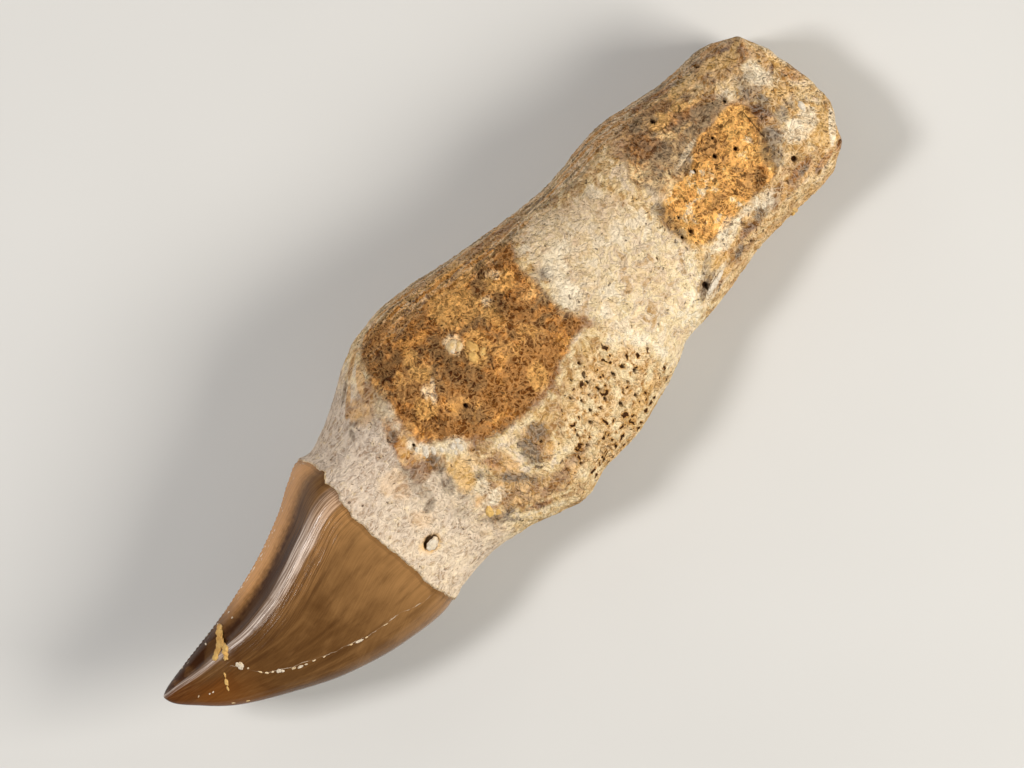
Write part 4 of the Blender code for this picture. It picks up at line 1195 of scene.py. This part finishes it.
def root_grid(sizes):
    """The root's rings from under the bone's edge to the middle of the broken end, and their marks."""
    around = turns(sizes.root_columns, 0.4)[None, :]
    up = upper_side(around)
    margin = margin_distance(plan_angle(section(np.full(around.shape, MARGIN), around), up > 0.5))
    share = np.linspace(0, 1, sizes.root_rings)[:, None]
    share = 0.15 * share**2 + 0.85 * share
    along = margin + (LENGTH - margin) * share
    end = np.full(around.shape, LENGTH)
    for _ in range(3):
        end = end_distance(section(end, around))
    leant = along + (end - LENGTH) * ease(END_START, LENGTH, along)
    rings = section(leant, around)
    up = up + 0 * leant
    height, fine, hollow = root_relief(rings, up)
    edge = 1 - ease(0, 0.7, along - margin)
    still = 1 - ease(LENGTH - END_STILL, LENGTH, along)
    rings = rings + outward(rings) * (height * still - EDGE_TUCK * edge)[..., None]

    last = rings[-1]
    middle = last.mean(axis=0)
    shrink = np.linspace(1, 0, sizes.end_rings + 1)[1:-1, None, None]
    ends = middle + shrink * (last - middle)
    ends[..., 0] = end_distance(ends)
    rings = np.concatenate([rings, ends])
    rings[..., 2] = np.maximum(rings[..., 2], 0)
    up = np.concatenate([up, np.broadcast_to(up[-1], ends.shape[:-1])])

    angle, away = plan_angle(rings, up > 0.5), rings[..., 0]
    marks = {
        "along": away,
        "across": plan_across(rings),
        "fine": np.concatenate([fine, np.zeros(ends.shape[:-1])]),
        "hollow": np.concatenate([hollow, np.zeros(ends.shape[:-1])]),
        "grain": rings * [0.6, 1, 1] + np.maximum(0, 0.4 * (away - 50))[..., None] * [1, 0, 0],
        "margin": margin_distance(angle),
    }
    for name in PATCHES:
        marks[name] = patch_field(name, away, angle)
    for name, ovals in STAINS.items():
        marks[name] = oval_distance(away, angle, ovals)
    return rings, marks


def surface_top(along, y):
    """Height of the tooth's smooth upper side: the superellipse |c|^p + |s|^p = 1 solved for s."""
    behind = y >= rail(UPPER_RIDGE, along)
    ridge, reach, rise, full = section_parts(along, np.full(y.shape, True), behind)
    share = np.clip(np.abs(y - ridge) / reach, 0, 0.999)
    return rail(MIDDLE_HEIGHT, along) + rise * (1 - share**full) ** (1 / full)


def stuck_mesh(name, spots, relief, sink, seed):
    """Lumps stuck on the upper side: each a flattened, uneven ball laid over the surface.

    At the angles psi from the lump's top and phi round it, its plan is half length * sin psi cos phi
    by half width * sin psi sin phi, and it stands height * cos psi over the surface, less sink.
    """
    psi = np.linspace(0, np.pi, LUMP_RINGS)[:, None]
    phi = np.linspace(0, 2 * np.pi, LUMP_POINTS, endpoint=False)[None, :]
    wide, tall = np.sin(psi), np.cos(psi) + 0 * phi
    ball = np.stack([wide * np.cos(phi), wide * np.sin(phi), tall], axis=-1)
    points, corners, sizes, tints = [], [], [], []
    for number, (far, y, half_long, half_wide, height, tilt, tint) in enumerate(spots):
        place = ball + (7.3 * number + seed)
        uneven = 1 + 0.3 * grain(place, 0.9, seed) + 0.2 * grain(place, 0.4, seed)
        form = ball * uneven[..., None]
        u, v = form[..., 0] * half_long, form[..., 1] * half_wide
        c, s = math.cos(math.radians(tilt)), math.sin(math.radians(tilt))
        x, y = far + u * c - v * s, y + u * s + v * c
        flat = np.stack([x, y, surface_top(x, y)], axis=-1)
        flat[..., 2] += relief(flat) + form[..., 2] * height - sink
        faces, counts = ring_faces(len(flat) - 2, flat.shape[1], sum(map(len, points)))
        points.append(np.concatenate([flat[0, :1], flat[1:-1].reshape(-1, 3), flat[-1, :1]]))
        corners.append(faces)
        sizes.append(counts)
        tints.append(np.full(len(points[-1]), tint))
    points = np.concatenate(points)
    marks = {"tint": np.concatenate(tints)}
    return filled_mesh(name, points, np.concatenate(corners), np.concatenate(sizes), marks)


def crown_surface(points):
    """The crown's relief on its upper side, in mm."""
    return crown_relief(points, np.ones(points.shape[:-1]))


def root_surface(points):
    """The root's broader relief on its upper side, in mm."""
    return broad_relief(points, np.ones(points.shape[:-1]))


class TOOTH_OT_crown(bpy.types.Operator):
    """Add the enamel crown"""

    bl_idname = "tooth.crown"
    bl_label = "Crown"

    def execute(self, context):
        scene = context.scene
        finish = enamel_finish(scene.tooth_colours, scene.tooth_sizes)
        piece("crown", crown_mesh(scene.tooth_sizes), finish)
        return {"FINISHED"}


class TOOTH_OT_root(bpy.types.Operator):
    """Add the bone root in two lengths, whose rings lap under each other where they meet"""

    bl_idname = "tooth.root"
    bl_label = "Root"

    def execute(self, context):
        scene = context.scene
        finish = bone_finish(scene.tooth_colours, scene.tooth_sizes)
        rings, marks = root_grid(scene.tooth_sizes)
        inward = -outward(rings)
        cut = scene.tooth_sizes.root_rings // 2
        for name, part, lap in (
            ("lower_root", slice(0, cut + 3), (-2, -1)),
            ("upper_root", slice(cut - 2, None), (1, 0)),
        ):
            grid, under = rings[part].copy(), inward[part]
            for row, depth in zip(lap, LAP):
                grid[row] += under[row] * depth
            start, end = grid[0].mean(axis=0), grid[-1].mean(axis=0)
            some = {mark: values[part] for mark, values in marks.items()}
            piece(name, closed_mesh(name, start, grid, end, some), finish)
        return {"FINISHED"}


class TOOTH_OT_sediment(bpy.types.Operator):
    """Add the crust, chips, lumps and plug that stick to the tooth"""

    bl_idname = "tooth.sediment"
    bl_label = "Sediment"

    def execute(self, context):
        scene = context.scene
        finish = sediment_finish(scene.tooth_colours, scene.tooth_sizes)
        for name, spots, surface, sink, seed in (
            ("crown_crust", CRUST, crown_surface, 0.05, 3),
            ("crack_chips", CHIPS, crown_surface, 0.03, 5),
            ("root_lumps", LUMPS, root_surface, 0.1, 8),
            ("nerve_plug", PLUG, root_surface, PLUG_DROP, 13),
        ):
            piece(name, stuck_mesh(name, spots, surface, sink, seed), finish)
        return {"FINISHED"}


class TOOTH_OT_studio(bpy.types.Operator):
    """Add the floor, the soft lights and the camera above the tooth"""

    bl_idname = "tooth.studio"
    bl_label = "Studio"

    def execute(self, context):
        studio = context.scene.studio
        floor_mesh = bpy.data.meshes.new("floor")
        signs = [(-1, -1), (1, -1), (1, 1), (-1, 1)]
        corners = [(x * FLOOR_HALF, y * FLOOR_HALF, FLOOR_HEIGHT) for x, y in signs]
        floor_mesh.from_pydata(corners, [], [(0, 1, 2, 3)])
        floor_mesh.materials.append(floor_finish(studio))
        floor = bpy.data.objects.new("floor", floor_mesh)
        context.scene.collection.objects.link(floor)
        world = bpy.data.worlds.new("studio")
        world.use_nodes = True
        air = world.node_tree.nodes["Background"].inputs
        air["Color"].default_value = AIR_COLOUR
        air["Strength"].default_value = AIR_STRENGTH
        context.scene.world = world
        context.scene.view_settings.view_transform = "Standard"
        for name, place, side, colour, mirrored in LIGHTS:
            soft_light(name, place, side, getattr(studio, f"{name}_power"), colour, mirrored)
        add_camera(studio.lens)
        return {"FINISHED"}


def soft_light(name, place, side, power, colour, mirrored):
    """A square area light that faces the tooth; mirrored says whether polished parts reflect it."""
    light = bpy.data.lights.new(name, "AREA")
    light.shape, light.size = "SQUARE", side
    light.energy, light.color = power, colour
    lamp = bpy.data.objects.new(name, light)
    bpy.context.scene.collection.objects.link(lamp)
    lamp.visible_glossy = mirrored
    lamp.location = place
    lamp.rotation_euler = (-Vector(place)).to_track_quat("-Z", "Y").to_euler()


def add_camera(lens):
    """The camera looks straight down and is turned so that the tooth lies diagonally."""
    camera = bpy.data.objects.new("camera", bpy.data.cameras.new("camera"))
    camera.data.lens, camera.data.sensor_width = lens, SENSOR
    height = HIGH.z / 2 + VIEW_WIDTH * lens / SENSOR
    camera.location = (*VIEW_CENTRE, height)
    camera.rotation_euler = (0, 0, math.radians(VIEW_TURN))
    camera.data.clip_start, camera.data.clip_end = 0.01, 10
    bpy.context.scene.collection.objects.link(camera)
    bpy.context.scene.camera = camera


class TOOTH_PT_panel(bpy.types.Panel):
    """Lists the tooth's operators and settings"""

    bl_label = "Mosasaur Tooth"
    bl_space_type = "VIEW_3D"
    bl_region_type = "UI"
    bl_category = "Tooth"

    def draw(self, context):
        for operator in OPERATORS:
            self.layout.operator(operator.bl_idname)
        for group in (context.scene.tooth_sizes, context.scene.tooth_colours, context.scene.studio):
            for name in group.__annotations__:
                self.layout.prop(group, name)


OPERATORS = (TOOTH_OT_crown, TOOTH_OT_root, TOOTH_OT_sediment, TOOTH_OT_studio)
CLASSES = (ToothSizes, ToothColours, StudioSettings, *OPERATORS, TOOTH_PT_panel)


def register():
    for cls in CLASSES:
        bpy.utils.register_class(cls)
    bpy.types.Scene.tooth_sizes = PointerProperty(type=ToothSizes)
    bpy.types.Scene.tooth_colours = PointerProperty(type=ToothColours)
    bpy.types.Scene.studio = PointerProperty(type=StudioSettings)


def unregister():
    for name in ("tooth_sizes", "tooth_colours", "studio"):
        delattr(bpy.types.Scene, name)
    for cls in reversed(CLASSES):
        bpy.utils.unregister_class(cls)


def main():
    """Register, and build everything."""
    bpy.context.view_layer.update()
    register()
    bpy.ops.tooth.crown()
    bpy.ops.tooth.root()
    bpy.ops.tooth.sediment()
    bpy.ops.tooth.studio()
    bpy.context.view_layer.update()


if __name__ == "__main__":
    main()
